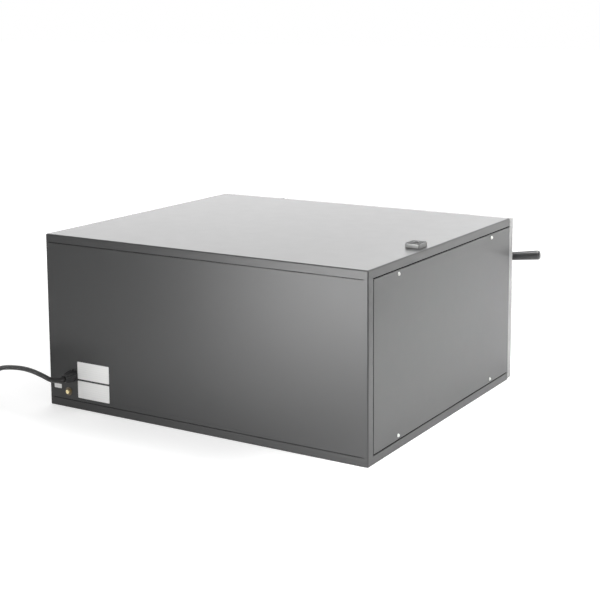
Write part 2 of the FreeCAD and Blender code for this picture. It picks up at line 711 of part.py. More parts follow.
def make_air_system():
    """Motor in the bay, impeller and ring heater in the plenum, baffle and probe."""
    face = partition_x + sheet
    motor_x1 = face + motor_flange_thickness + motor_length
    wide = motor_flange / 2
    motor = joined([
        block(face, face + motor_flange_thickness, -wide, wide, fan_z - wide, fan_z + wide),
        rod(motor_r, (face, 0, fan_z), (motor_x1, 0, fan_z))])
    bore = rod(fan_shaft_r + running, (face - 1, 0, fan_z), (motor_x1 - motor_end_wall, 0, fan_z))
    save("fan_motor", motor.cut(bore))

    plate_x1 = chamber_x1 - fan_wall_gap
    plate_x0 = plate_x1 - fan_plate
    parts = [rod(fan_plate_r, (plate_x0, 0, fan_z), (plate_x1, 0, fan_z)),
             rod(fan_hub_r, (plate_x0 - fan_blade_depth / 2, 0, fan_z), (plate_x1, 0, fan_z)),
             rod(fan_shaft_r, (plate_x0, 0, fan_z), (motor_x1 - motor_end_wall - travel_gap, 0, fan_z))]
    within = rod(fan_plate_r - slip, (plate_x0 - fan_blade_depth, 0, fan_z), (plate_x0, 0, fan_z))
    for i in range(fan_blades):
        blade = block(plate_x0 - fan_blade_depth, plate_x0, -fan_blade / 2, fan_blade / 2,
                      fan_z + fan_blade_inner_r, fan_z + fan_plate_r - 1)
        blade.rotate(V(0, 0, fan_z + fan_blade_inner_r), V(1, 0, 0), 25)
        blade = blade.common(within)
        blade.rotate(V(0, 0, fan_z), V(1, 0, 0), 360.0 * i / fan_blades)
        parts.append(blade)
    save("fan_impeller", joined(parts))

    heater_x = chamber_x1 - heater_wall_gap
    ring = Part.makeTorus(heater_ring_r, heater_tube_r, V(heater_x, 0, fan_z), V(1, 0, 0))
    legs = heater_legs(heater_tube_r, heater_x, face + heater_leg_past)
    save("heater_ring", joined([ring] + legs))

    baffle = block(baffle_x - baffle_sheet, baffle_x, y_inside, chamber_y1, chamber_z0, chamber_z1)
    x0 = baffle_x - baffle_sheet - 1
    x1 = baffle_x + 1
    cuts = []
    for i in range(baffle_slots):
        up = (i - (baffle_slots - 1) / 2) * baffle_slot_pitch
        long = math.sqrt(max(baffle_intake_r ** 2 - up ** 2, baffle_slot_pitch ** 2))
        low = fan_z + up - baffle_slot_height / 2
        cuts.append(block(x0, x1, -long, long, low, low + baffle_slot_height))
    for y in (y_inside + outlet_slot_inset, chamber_y1 - outlet_slot_inset):
        for i in range(outlet_slot_rows):
            z = chamber_mid_z + (i - (outlet_slot_rows - 1) / 2) * outlet_slot_pitch
            cuts.append(block(x0, x1, y - outlet_slot_width / 2, y + outlet_slot_width / 2,
                              z - outlet_slot_height / 2, z + outlet_slot_height / 2))
    save("air_baffle", baffle.cut(Part.makeCompound(cuts)))

    z = chamber_z1 - probe_drop
    probe = joined([
        rod(probe_r, (chamber_x1 - probe_reach, probe_y, z), (face + probe_tail, probe_y, z)),
        rod(probe_nut_r, (face, probe_y, z), (face + probe_nut, probe_y, z))])
    save("temperature_probe", probe)


def make_rollers():
    """Four free rollers that carry the spools, in bushes on two bracket rails."""
    left_x = chamber_x0 + bracket_wall_gap
    right_x = baffle_x - baffle_sheet - bracket_baffle_gap
    y0 = min(roller_ys) - bracket_end
    y1 = max(roller_ys) + bracket_end
    foot = bracket_foot
    t = bracket_sheet
    top = chamber_z0 + bracket_height
    rails = [
        joined([block(left_x, left_x + t, y0, y1, chamber_z0, top),
                block(left_x, left_x + foot, y0, y1, chamber_z0, chamber_z0 + t)]),
        joined([block(right_x - t, right_x, y0, y1, chamber_z0, top),
                block(right_x - foot, right_x, y0, y1, chamber_z0, chamber_z0 + t)])]
    cuts = Part.makeCompound([rod(bush_r + running, (left_x - 1, y, roller_z), (right_x + 1, y, roller_z))
                              for y in roller_ys])
    save("roller_brackets", Part.makeCompound([rail.cut(cuts) for rail in rails]))

    bushes = []
    for y in roller_ys:
        for face, way in ((left_x, 1), (right_x, -1)):
            inner = face + way * t
            sleeve = rod(bush_r, (face - way * bush_past, y, roller_z), (inner, y, roller_z))
            flange = rod(bush_flange_r, (inner, y, roller_z), (inner + way * bush_flange, y, roller_z))
            bore = rod(roller_shaft_r + running, (face - way * (bush_past + 1), y, roller_z),
                       (inner + way * (bush_flange + 1), y, roller_z))
            bushes.append(sleeve.fuse(flange).removeSplitter().cut(bore))
    save("roller_bushes", Part.makeCompound(bushes))

    end = t + bush_flange + roller_end_gap
    for i, y in enumerate(roller_ys):
        tube = rod(roller_r, (left_x + end, y, roller_z), (right_x - end, y, roller_z))
        shaft = rod(roller_shaft_r, (left_x - shaft_end_past, y, roller_z),
                    (right_x + shaft_end_past, y, roller_z))
        save("spool_roller_" + str(i + 1), joined([tube, shaft]))


def make_outlet():
    """Block on the top cover with a guide bore that runs down into the chamber."""
    wide = outlet_width / 2
    deep = outlet_depth / 2
    body = block(outlet_x - wide, outlet_x + wide, outlet_y - deep, outlet_y + deep,
                 cabinet_height, cabinet_height + outlet_height)
    uprights = [e for e in body.Edges if abs(e.Vertexes[0].Z - e.Vertexes[1].Z) > outlet_height / 2]
    body = body.makeFillet(outlet_round, uprights)
    foot_z = chamber_z1 - spigot_past
    spigot = rod(spigot_r, (outlet_x, outlet_y, foot_z), (outlet_x, outlet_y, cabinet_height))
    bore = rod(outlet_bore_r, (outlet_x, outlet_y, foot_z - 1),
               (outlet_x, outlet_y, cabinet_height + outlet_height + 1))
    save("filament_outlet", joined([body, spigot]).cut(bore))


def make_rear_fittings():
    """Cord gland, blank plates and earth screw on the rear panel, and the terminals behind it."""
    def at(y):
        return (gland_x, y, gland_z)
    hex_y1 = y_rear + gland_hex
    thread_y0 = y_rear_inside - gland_nut - gland_tail
    gland = joined([
        rod(gland_thread_r, at(thread_y0), at(y_rear)),
        hexagon(gland_flats, at(y_rear), at(hex_y1)),
        taper(gland_dome_r, gland_mouth_r, at(hex_y1), at(gland_exit_y))])
    nut = hexagon(gland_flats, at(y_rear_inside - gland_nut), at(y_rear_inside))
    nut = nut.cut(rod(gland_thread_r + slip / 2, at(thread_y0), at(y_rear)))
    save("cord_gland", Part.makeCompound([gland, nut]))

    plate_x1 = half - plate_inset
    plate_y1 = y_rear + plate_thickness
    plates = []
    for z in (plate_z, plate_z + plate_height + plate_gap):
        plates.append(block(plate_x1 - plate_width, plate_x1, y_rear, plate_y1, z, z + plate_height))
    tag_x1 = half - tag_inset
    plates.append(block(tag_x1 - tag_width, tag_x1, y_rear, plate_y1, tag_z, tag_z + tag_height))
    save("rear_plates", Part.makeCompound(plates))

    def on_earth(y):
        return (half - earth_inset, y, earth_z)
    washer_y1 = y_rear + earth_washer
    earth = joined([
        rod(earth_washer_r, on_earth(y_rear), on_earth(washer_y1)),
        rod(earth_head_r, on_earth(washer_y1), on_earth(washer_y1 + earth_head)),
        rod(earth_shank_r, on_earth(y_rear - earth_length), on_earth(y_rear))])
    slot = block(gland_x, half, washer_y1 + earth_head - screw_slot_depth, washer_y1 + earth_head + 1,
                 earth_z - screw_slot_width / 2, earth_z + screw_slot_width / 2)
    nut = rod(earth_nut_r, on_earth(y_rear_inside - earth_nut), on_earth(y_rear_inside))
    nut = nut.cut(rod(earth_shank_r + slip / 2, on_earth(y_rear - earth_length - 1), on_earth(y_rear)))
    save("earth_screw", Part.makeCompound([earth.cut(slot), nut]))

    x0 = gland_x - terminal_width / 2
    y1 = y_rear - terminal_from_rear
    terminals = block(x0, x0 + terminal_width, y1 - terminal_depth, y1, sheet, sheet + terminal_height)
    pitch = terminal_width / terminal_ways
    middle_y = y1 - terminal_depth / 2
    top = sheet + terminal_height
    for i in range(terminal_ways):
        x = x0 + pitch * (i + 0.5)
        hole = rod(terminal_hole_r, (x, middle_y, top - terminal_hole_depth), (x, middle_y, top + 1))
        terminals = terminals.cut(hole)
    save("terminal_block", terminals)


# The lead's route after the gland, chosen by hand: out, round to the side, over a low arch, down to the floor
lead_route = [(243.0, 300.0, 54.3), (253.5, 317.5, 69.5), (278.0, 323.5, 77.0), (312.0, 322.0, 74.7),
              (350.0, 313.5, 65.5), (380.0, 302.0, 42.0), (405.0, 290.0, 17.5),
              (432.0, 279.5, cord_floor), (458.0, 279.5, cord_floor)]


def rounded_path(points):
    """Straight runs joined by tangent arcs as large as the runs allow."""
    edges, radii = [], []
    here = points[0]
    for before, corner, after in zip(points, points[1:], points[2:]):
        back = (before - corner).normalize()
        ahead = (after - corner).normalize()
        turn = math.pi - back.getAngle(ahead)
        reach = arc_share * min((before - corner).Length, (after - corner).Length)
        radius = reach / math.tan(turn / 2)
        start = corner + back * reach
        end = corner + ahead * reach
        inward = (back + ahead).normalize()
        middle = corner + inward * (radius / math.cos(turn / 2) - radius)
        edges += [Part.LineSegment(here, start).toShape(), Part.Arc(start, middle, end).toShape()]
        radii.append(round(radius, 1))
        here = end
    edges.append(Part.LineSegment(here, points[-1]).toShape())
    print("lead bend radii", radii)
    return edges


def arc_from(start, way, end):
    """Arc that leaves a point in a given direction and ends at another point."""
    chord = end - start
    unit = V(chord).normalize()
    lean = way.getAngle(chord)
    side = way - unit * way.dot(unit)
    if side.Length < 1e-9:
        return Part.LineSegment(start, end).toShape()
    middle = start + chord * 0.5 + side.normalize() * (chord.Length / 2 * math.tan(lean / 2))
    return Part.Arc(start, middle, end).toShape()


def biarc(p0, t0, p1, t1):
    """Two arcs that join two points and meet both directions."""
    v = p1 - p0
    t = t0 + t1
    k = 2 * (1 - t0.dot(t1))
    b = v.dot(t)
    d = (-b + math.sqrt(b * b + k * v.dot(v))) / k if k > 1e-9 else v.dot(v) / (4 * v.dot(t1))
    joint = (p0 + t0 * d + p1 - t1 * d) * 0.5
    way = (p1 - t1 * d - p0 - t0 * d).normalize()
    return [arc_from(p0, t0, joint), arc_from(joint, way, p1)]


def tube(edges, radius):
    """Round tube along a path, with its volume set beside section times length."""
    path = Part.Wire(edges)
    start = edges[0].valueAt(edges[0].FirstParameter)
    way = edges[0].tangentAt(edges[0].FirstParameter)
    section = Part.Wire(Part.makeCircle(radius, start, way))
    solid = path.makePipeShell([section], True, False)
    ideal = math.pi * radius ** 2 * path.Length
    print("tube length", round(path.Length, 1), "volume share", round(solid.Volume / ideal, 4))
    return solid


coil_x = lead_route[-1][0] + 2 * cord_r
coil_y = lead_route[-1][1] + coil_outer_r


def ease(share):
    """Smooth step from 0 to 1."""
    share = min(max(share, 0.0), 1.0)
    return (1 - math.cos(math.pi * share)) / 2


def coil_point(turns):
    """Place on the coil after a number of turns: in, up a layer in half a turn, and out again."""
    last = 2 * coil_turns + 0.5
    radius = coil_outer_r - coil_pitch * min(turns, last - turns)
    height = cord_floor + coil_pitch * ease((turns - coil_turns) * 2)
    height += (plug_axis_z - cord_floor - coil_pitch) * ease((turns - last + 0.5) * 2)
    angle = math.radians(360 * turns - 90)
    return V(coil_x + radius * math.cos(angle), coil_y + radius * math.sin(angle), height)


def coil_way(turns):
    """Direction of the coil after a number of turns."""
    step = 1e-4
    return (coil_point(turns + step) - coil_point(turns - step)).normalize()


def coil_path():
    """Straight start, turns as quarter-turn biarcs, straight tail to the plug."""
    quarters = round(4 * (2 * coil_turns + 0.5))
    knots = [(coil_point(i / 4), coil_way(i / 4)) for i in range(quarters + 1)]
    knots[0] = (coil_point(0), V(1, 0, 0))
    knots[-1] = (coil_point(quarters / 4), V(-1, 0, 0))
    start = V(*lead_route[-1])
    edges = [Part.LineSegment(start, knots[0][0]).toShape()]
    for (p0, t0), (p1, t1) in zip(knots, knots[1:]):
        edges += biarc(p0, t0, p1, t1)
    end = knots[-1][0] + V(-coil_tail, 0, 0)
    edges.append(Part.LineSegment(knots[-1][0], end).toShape())
    return edges, end


def least_gap(edges):
    """Smallest distance between stretches of the coil that aren't neighbours, less the cord."""
    points = []
    for edge in edges:
        points += edge.discretize(Distance=2.0)[:-1]
    apart = int(6 * cord_r)
    least = min((p - q).Length for i, p in enumerate(points) for q in points[i + apart:])
    return least - 2 * cord_r


def make_cord():
    """Lead from the gland to the floor, coil of its put-away length, and the plug."""
    exit_point = V(gland_x, gland_exit_y, gland_z)
    save("cord_lead", tube(rounded_path([exit_point] + [V(*p) for p in lead_route]), cord_r))
    edges, end = coil_path()
    print("coil least gap", round(least_gap(edges), 2))
    save("cord_coil", tube(edges, cord_r))

    sleeve_end = end - V(plug_sleeve, 0, 0)
    face = sleeve_end - V(plug_length, 0, 0)
    body = rod(plug_r, sleeve_end, face)
    body = body.makeFillet(plug_round, [e for e in body.Edges if abs(e.Length - 2 * math.pi * plug_r) < 0.01])
    pieces = [taper(plug_sleeve_end_r, plug_sleeve_r, end, sleeve_end), body]
    for side in (-1, 1):
        pin = face + V(0, side * plug_pin_pitch / 2, 0)
        pieces.append(rod(plug_pin_r, pin, pin - V(plug_pin_length, 0, 0)))
    save("mains_plug", joined(pieces))


make_shell()
make_front_frame()
make_chamber()
make_door()
make_hinges()
make_lever()
make_controls()
make_air_system()
make_rollers()
make_outlet()
make_rear_fittings()
make_cord()
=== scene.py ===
"""Dressed scene of a sheet-metal drying cabinet for filament spools.

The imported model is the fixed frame, and each of its nodes gets a finish. Each sub-assembly is a class that
holds its sizes in metres and adds the pieces that only the looks need. Every new surface is worked out with
numpy as a stack of rings: a profile carried round an axis, or outlines lofted along a line or a loop.
"""

import json
import logging
import math
from abc import ABC, abstractmethod
from dataclasses import dataclass, field
from enum import Enum
from functools import lru_cache
from typing import Sequence

import bpy
import numpy as np
from mathutils import Matrix, Vector


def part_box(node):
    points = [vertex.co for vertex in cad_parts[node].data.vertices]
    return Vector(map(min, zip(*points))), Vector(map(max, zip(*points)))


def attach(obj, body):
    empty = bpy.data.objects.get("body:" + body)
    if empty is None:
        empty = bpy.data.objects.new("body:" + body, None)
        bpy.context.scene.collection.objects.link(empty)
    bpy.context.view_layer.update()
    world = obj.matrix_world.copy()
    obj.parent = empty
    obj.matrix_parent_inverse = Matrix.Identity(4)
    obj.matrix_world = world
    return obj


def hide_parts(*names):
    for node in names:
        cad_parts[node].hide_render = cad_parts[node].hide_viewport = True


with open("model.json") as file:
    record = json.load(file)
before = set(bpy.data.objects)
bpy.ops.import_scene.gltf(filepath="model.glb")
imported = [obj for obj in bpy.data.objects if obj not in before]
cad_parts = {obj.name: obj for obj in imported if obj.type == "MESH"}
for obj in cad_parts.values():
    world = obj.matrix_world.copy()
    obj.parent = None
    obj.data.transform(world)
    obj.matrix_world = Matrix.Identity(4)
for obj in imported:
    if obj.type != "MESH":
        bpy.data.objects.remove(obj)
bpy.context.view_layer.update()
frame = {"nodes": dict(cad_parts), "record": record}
LOG = logging.getLogger("drying_cabinet")

Array = np.ndarray
Pair = tuple[float, float]
Point = tuple[float, float, float]
Colour = tuple[float, float, float]
Profile = Sequence[Pair] | Array
Socket = bpy.types.NodeSocket

MM = 0.001
QUARTER = np.pi / 2
SMOOTH_ANGLE = math.radians(35.0)
ROUND_PLACES = 48
CORNER_PLACES = 8
EASE_PLACES = 4
# Watts per square metre of a lamp's face that make it as bright as a white surround
FULL_WHITE = 4.0
# Places of a Mix node's colour sockets
MIX_FIRST, MIX_SECOND, MIX_RESULT = 6, 7, 2

LEFT: Point = (-1, 0, 0)
RIGHT: Point = (1, 0, 0)
FRONT: Point = (0, -1, 0)
REAR: Point = (0, 1, 0)
UP: Point = (0, 0, 1)


class Body(str, Enum):
    """Rigid bodies of the frame that pieces ride on."""
    CABINET = "cabinet"
    DOOR = "door"
    LEVER = "lever"
    BUTTON_DOWN = "button_down"
    BUTTON_SET = "button_set"
    BUTTON_UP = "button_up"
    ROCKER = "rocker"
    ROLLER_1 = "roller_1"
    ROLLER_2 = "roller_2"
    ROLLER_3 = "roller_3"
    ROLLER_4 = "roller_4"


class Slot(str, Enum):
    """Material slots of the part's record."""
    COAT = "anthracite_coat"
    PALE_COAT = "pale_coat"
    ZINC = "zinc_sheet"
    CHAMBER = "chamber_steel"
    WOOL = "mineral_wool"
    SCREWS = "bright_screws"
    BEZEL = "window_frame"
    PANE = "window_pane"
    SEAL = "seal_rubber"
    HINGE = "hinge_steel"
    PIN = "pin_steel"
    LATCH = "latch_plate"
    GRIP = "grip_plastic"
    BLACK = "black_plastic"
    DISPLAY = "display_panel"
    BUTTON = "button_plastic"
    ROCKER = "rocker_plastic"
    MOTOR = "motor_body"
    HEATER = "heater_sheath"
    ROLLER = "roller_steel"
    BRASS = "bush_brass"
    PLATE = "plate_white"
    CORD = "cord_sheath"
    OUTLET = "outlet_plastic"


class Axis(str, Enum):
    """Directions of the frame, by the names of the coordinates' outputs."""
    X = "X"
    Y = "Y"
    Z = "Z"


# Shapes

@dataclass(frozen=True)
class Seat:
    """A place to build on: where it is, the way that a piece stands out from it, and its rightward way."""
    origin: Point
    out: Point
    right: Point = RIGHT

    def place(self, flat: Array) -> Array:
        """Points given as (right, up, out), put into the frame.

        Args:
            flat: Points, shaped (..., 3).

        Returns:
            Points in the frame, of the same shape.
        """
        out = np.asarray(self.out, float) / np.linalg.norm(self.out)
        right = np.asarray(self.right, float)
        right = right - out * right.dot(out)
        right /= np.linalg.norm(right)
        axes = np.stack([right, np.cross(out, right), out])
        return np.asarray(self.origin, float) + flat @ axes


@dataclass
class Shape:
    """Points, with the quads and the many-sided caps that join them."""
    points: Array
    quads: Array
    caps: list[Array] = field(default_factory=list)

    @classmethod
    def from_rings(cls, rings: Array, looped: bool = False) -> "Shape":
        """Closed surface over a stack of rings.

        The surface is a function of two whole numbers, the ring and the place round it: a quad joins each
        place to the next one round and to the same places on the next ring.

        Args:
            rings: Points, shaped (rings, places, 3).
            looped: Join the last ring to the first; otherwise flat caps close both ends.

        Returns:
            The shape, its faces outwards.
        """
        count, places = rings.shape[:2]
        index = np.arange(count * places).reshape(count, places)
        if looped:
            index = np.vstack([index, index[:1]])
        after = np.roll(index, -1, axis=1)
        quads = np.stack([index[:-1], after[:-1], after[1:], index[1:]], axis=-1).reshape(-1, 4)
        shape = cls(rings.reshape(-1, 3), quads, [] if looped else [index[0, ::-1], index[-1]])
        return shape if shape.volume() > 0 else shape.inside_out()

    def volume(self) -> float:
        """Signed volume: a sixth of the sum of a . (b x c) over every triangle.

        Returns:
            The volume, below nought where the faces point inwards.
        """
        a, b, c, d = (self.points[self.quads[:, i]] for i in range(4))
        sixfold = np.sum(a * np.cross(b, c)) + np.sum(a * np.cross(c, d))
        for cap in self.caps:
            rim = self.points[cap]
            sixfold += np.sum(rim[0] * np.cross(rim[1:-1], rim[2:]))
        return sixfold / 6

    def inside_out(self) -> "Shape":
        """The same shape with every face turned round."""
        return Shape(self.points, self.quads[:, ::-1], [cap[::-1] for cap in self.caps])

    def __add__(self, other: "Shape") -> "Shape":
        """Two shapes as one."""
        start = len(self.points)
        return Shape(np.vstack([self.points, other.points]), np.vstack([self.quads, other.quads + start]),
                     self.caps + [cap + start for cap in other.caps])

    def piece(self, name: str, body: Body, slot: Slot, replaces: Sequence[str] = (),
              finish: "Finish | None" = None) -> bpy.types.Object:
        """Make the shape an object that rides on a body.

        Args:
            name: The piece's name.
            body: The body that it moves with.
            slot: The record's slot for its finish.
            replaces: Frame nodes that it stands for.
            finish: Its own finish, where that isn't the slot's.

        Returns:
            The new object.
        """
        faces = self.quads.tolist() + [cap.tolist() for cap in self.caps]
        mesh = bpy.data.meshes.new(name)
        mesh.from_pydata(self.points.tolist(), [], faces)
        mesh.polygons.foreach_set("use_smooth", np.ones(len(faces), bool))
        mesh.set_sharp_from_angle(angle=SMOOTH_ANGLE)
        mesh.materials.append(made(finish or FINISHES[slot]))
        mesh.update()
        piece = linked(name, mesh)
        settle(piece, body, slot, replaces)
        return piece


def linked(name: str, data: bpy.types.ID) -> bpy.types.Object:
    """Make an object and link it to the scene.

    Args:
        name: The object's name.
        data: Its mesh, curve, camera or lamp.

    Returns:
        The new object.
    """
    new = bpy.data.objects.new(name, data)
    bpy.context.scene.collection.objects.link(new)
    return new


def settle(piece: bpy.types.Object, body: Body, slot: Slot, replaces: Sequence[str] = ()) -> None:
    """Put a piece on its body, hide the frame nodes that it stands for, and log its slot.

    Args:
        piece: The piece.
        body: The body that it moves with.
        slot: The record's slot for its finish.
        replaces: Frame nodes that it stands for.
    """
    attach(piece, body.value)
    if replaces:
        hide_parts(*replaces)
    LOG.info("%s rides on %s, finish %s, replaces %s", piece.name, body.value, slot.value, list(replaces))


def angles(places: int) -> Array:
    """Even angles round a full turn, from nought."""
    return np.linspace(0, 2 * np.pi, places, endpoint=False)


def unit(angle: Array) -> Array:
    """Points (cos t, sin t) for the angles t, on a last axis of two."""
    return np.stack([np.cos(angle), np.sin(angle)], axis=-1)


def arc(centre: Pair, radii: Pair, turn: Pair, places: int) -> Array:
    """Stretch of an ellipse: its centre plus (first radius * cos t, second radius * sin t).

    Args:
        centre: The ellipse's centre.
        radii: Its radii along the first and the second direction.
        turn: The first and the last angle t.
        places: Points on the stretch.

    Returns:
        Points, shaped (places, 2).
    """
    return np.asarray(centre) + np.asarray(radii) * unit(np.linspace(*turn, places))


def oblong(across: Pair, along: Pair) -> list[Pair]:
    """Corners of a rectangle that spans two numbers each way."""
    (low, high), (start, end) = across, along
    return [(low, start), (high, start), (high, end), (low, end)]


def loft(seat: Seat, flat: Array, level: Array, looped: bool = False) -> Shape:
    """Closed surface through flat rings, with each point lifted to its level over a seat.

    Args:
        seat: Where the levels start, and the way that they count.
        flat: Points (right, up), shaped (rings, places, 2).
        level: Levels, in a shape that spreads over the points.
        looped: Join the last ring to the first.

    Returns:
        The shape.
    """
    third = np.broadcast_to(level, flat.shape[:-1])[..., None]
    return Shape.from_rings(seat.place(np.concatenate([flat, third], axis=-1)), looped)


def lathe(profile: Profile, seat: Seat) -> Shape:
    """Turned shape: each profile point (radius, height) goes round the seat's outward axis in a circle."""
    radius, height = np.asarray(profile, float).T
    return loft(seat, radius[:, None, None] * unit(angles(ROUND_PLACES)), height[:, None])


def ring_of(profile: Profile, seat: Seat, places: int = ROUND_PLACES) -> Shape:
    """Turned ring: a closed profile of (radius, height) points goes round the seat's outward axis."""
    radius, height = np.asarray(profile, float).T
    return loft(seat, radius[:, None] * unit(angles(places))[:, None], height, looped=True)


def rounded_outline(size: Pair, radius: float) -> tuple[Array, Array]:
    """Rectangle with round corners: each corner is a quarter circle about its own centre.

    Args:
        size: Its width and height.
        radius: Corner radius.

    Returns:
        Points and outward normals, each shaped (places, 2), anticlockwise.
    """
    quarter = np.linspace(0, QUARTER, CORNER_PLACES)
    normals = unit(np.repeat(np.arange(4) * QUARTER, CORNER_PLACES) + np.tile(quarter, 4))
    signs = np.repeat(np.array([[1, 1], [-1, 1], [-1, -1], [1, -1]]), CORNER_PLACES, axis=0)
    return signs * (np.array(size) / 2 - radius) + radius * normals, normals


def slab(seat: Seat, size: Point, corner: float, ease: float) -> Shape:
    """Flat piece with round corners and an eased front edge.

    The outline shrinks by ease * (1 - cos t) while it climbs by ease * sin t, for t from nought to a quarter
    turn, so its front edge is a quarter circle.

    Args:
        seat: Middle of the back face, and the way that the front faces.
        size: Width, height and thickness.
        corner: Corner radius, more than the ease.
        ease: Radius of the front edge.

    Returns:
        The shape.
    """
    width, height, thickness = size
    outline, normals = rounded_outline((width, height), corner)
    turn = np.linspace(0, QUARTER, EASE_PLACES)
    inset = np.concatenate([[0.0], ease * (1 - np.cos(turn))])
    level = np.concatenate([[0.0], thickness - ease + ease * np.sin(turn)])
    return loft(seat, outline - inset[:, None, None] * normals, level[:, None])


def framed(seat: Seat, size: Pair, corner: float, section: Profile) -> Shape:
    """Closed section carried round a rectangle with round corners.

    Args:
        seat: Middle of the rectangle, and the way that the section's second number counts.
        size: The rectangle's width and height.
        corner: The rectangle's corner radius.
        section: Points (outward from the rectangle, out from the seat) of the section.

    Returns:
        The shape.
    """
    outline, normals = rounded_outline(size, corner)
    outward, level = np.asarray(section, float).T
    return loft(seat, outline[:, None] + outward[:, None] * normals[:, None], level, looped=True)


def total(shapes: Sequence[Shape]) -> Shape:
    """Several shapes as one."""
    first, *rest = shapes
    return sum(rest, first)


@dataclass(frozen=True)
class SocketScrew:
    """Domed screw head with a six-sided socket; the shares are of its radius and height."""
    radius: float
    height: float
    places: int = 36
    dome_turns: tuple[float, ...] = (0.0, 0.25, 0.55, 0.85, 1.1)
    dome_power: float = 0.8
    flank_share: float = 0.35
    socket_share: float = 0.42
    socket_taper: float = 0.97

    def head(self, seat: Seat) -> Shape:
        """One head.

        Its rings shrink by a power of cos t while they rise over the flank by sin t. The socket's rings are
        hexagons, whose radius is that of the flat over the cosine of the angle from the flat's middle. They
        go down inside the head to the flank's level.

        Args:
            seat: Middle of the head's underside, and the way that the head stands out.

        Returns:
            The shape.
        """
        angle, turn = angles(self.places), np.array(self.dome_turns)
        dome = self.radius * np.cos(turn)[:, None, None] ** self.dome_power * unit(angle)
        flat = self.socket_share * self.radius / np.cos(np.mod(angle, np.pi / 3) - np.pi / 6)
        hexagon = flat[:, None] * unit(angle)
        rise = self.flank_share + (1 - self.flank_share) * np.sin(turn[1:]) / np.sin(turn[-1])
        level = self.height * np.array([0.0, *rise, 1.0, self.flank_share])
        return loft(seat, np.stack([*dome, hexagon, self.socket_taper * hexagon]), level[:, None])

    def heads(self, places: Sequence[Point], out: Point) -> Shape:
        """A head at each place, all facing one way."""
        return total([self.head(Seat(place, out)) for place in places])


HINGE_SCREW = SocketScrew(3.4 * MM, 1.5 * MM)
PANEL_SCREW = SocketScrew(3.2 * MM, 1.7 * MM)


# Finishes

class Nodes:
    """A node tree, with short ways to add and join its nodes."""

    def __init__(self, tree: bpy.types.NodeTree) -> None:
        """Work on a tree."""
        self.tree = tree

    def add(self, kind: str, settings: dict | None = None, **inputs: object) -> bpy.types.Node:
        """Add a node, with its settings and its inputs' values or links.

        Args:
            kind: The node's type.
            settings: Attributes of the node.
            inputs: Input names, with underscores for spaces, and a value or a socket for each.

        Returns:
            The node.
        """
        node = self.tree.nodes.new(kind)
        for key, value in (settings or {}).items():
            setattr(node, key, value)
        for key, value in inputs.items():
            self.put(node.inputs[key.replace("_", " ")], value)
        return node

    def put(self, socket: Socket, value: object) -> None:
        """Set a socket's value, or link another socket to it.

        Args:
            socket: The input.
            value: A number, a colour or another node's output.
        """
        if isinstance(value, Socket):
            self.tree.links.new(value, socket)
        else:
            socket.default_value = value

    def math(self, operation: str, first: object, second: object = 0.0) -> Socket:
        """Result of an operation on one or two numbers.

        Args:
            operation: The operation's name.
            first: A number or another node's output.
            second: The same, where the operation takes two.

        Returns:
            The result.
        """
        node = self.add("ShaderNodeMath", {"operation": operation})
        self.put(node.inputs[0], first)
        self.put(node.inputs[1], second)
        return node.outputs["Value"]

    def between(self, share: Socket, low: float, high: float) -> Socket:
        """A share from 0 to 1 spread between two numbers."""
        return self.add("ShaderNodeMapRange", Value=share, To_Min=low, To_Max=high).outputs["Result"]

    def about(self, share: Socket, middle: float, swing: float) -> Socket:
        """A share from 0 to 1 spread evenly about a number."""
        return self.between(share, middle - swing, middle + swing)

    def seen_rays(self, strength: object = 1.0) -> Socket:
        """How bright a white surround looks to a ray that shows it.

        Args:
            strength: What a ray from the camera gets, or one that gloss or glass has sent on.

        Returns:
            The strength, nought for all other rays.
        """
        path = self.add("ShaderNodeLightPath").outputs
        sent_on = self.math("MAXIMUM", path["Is Glossy Ray"], path["Is Transmission Ray"])
        return self.math("MULTIPLY", self.math("MAXIMUM", path["Is Camera Ray"], sent_on), strength)


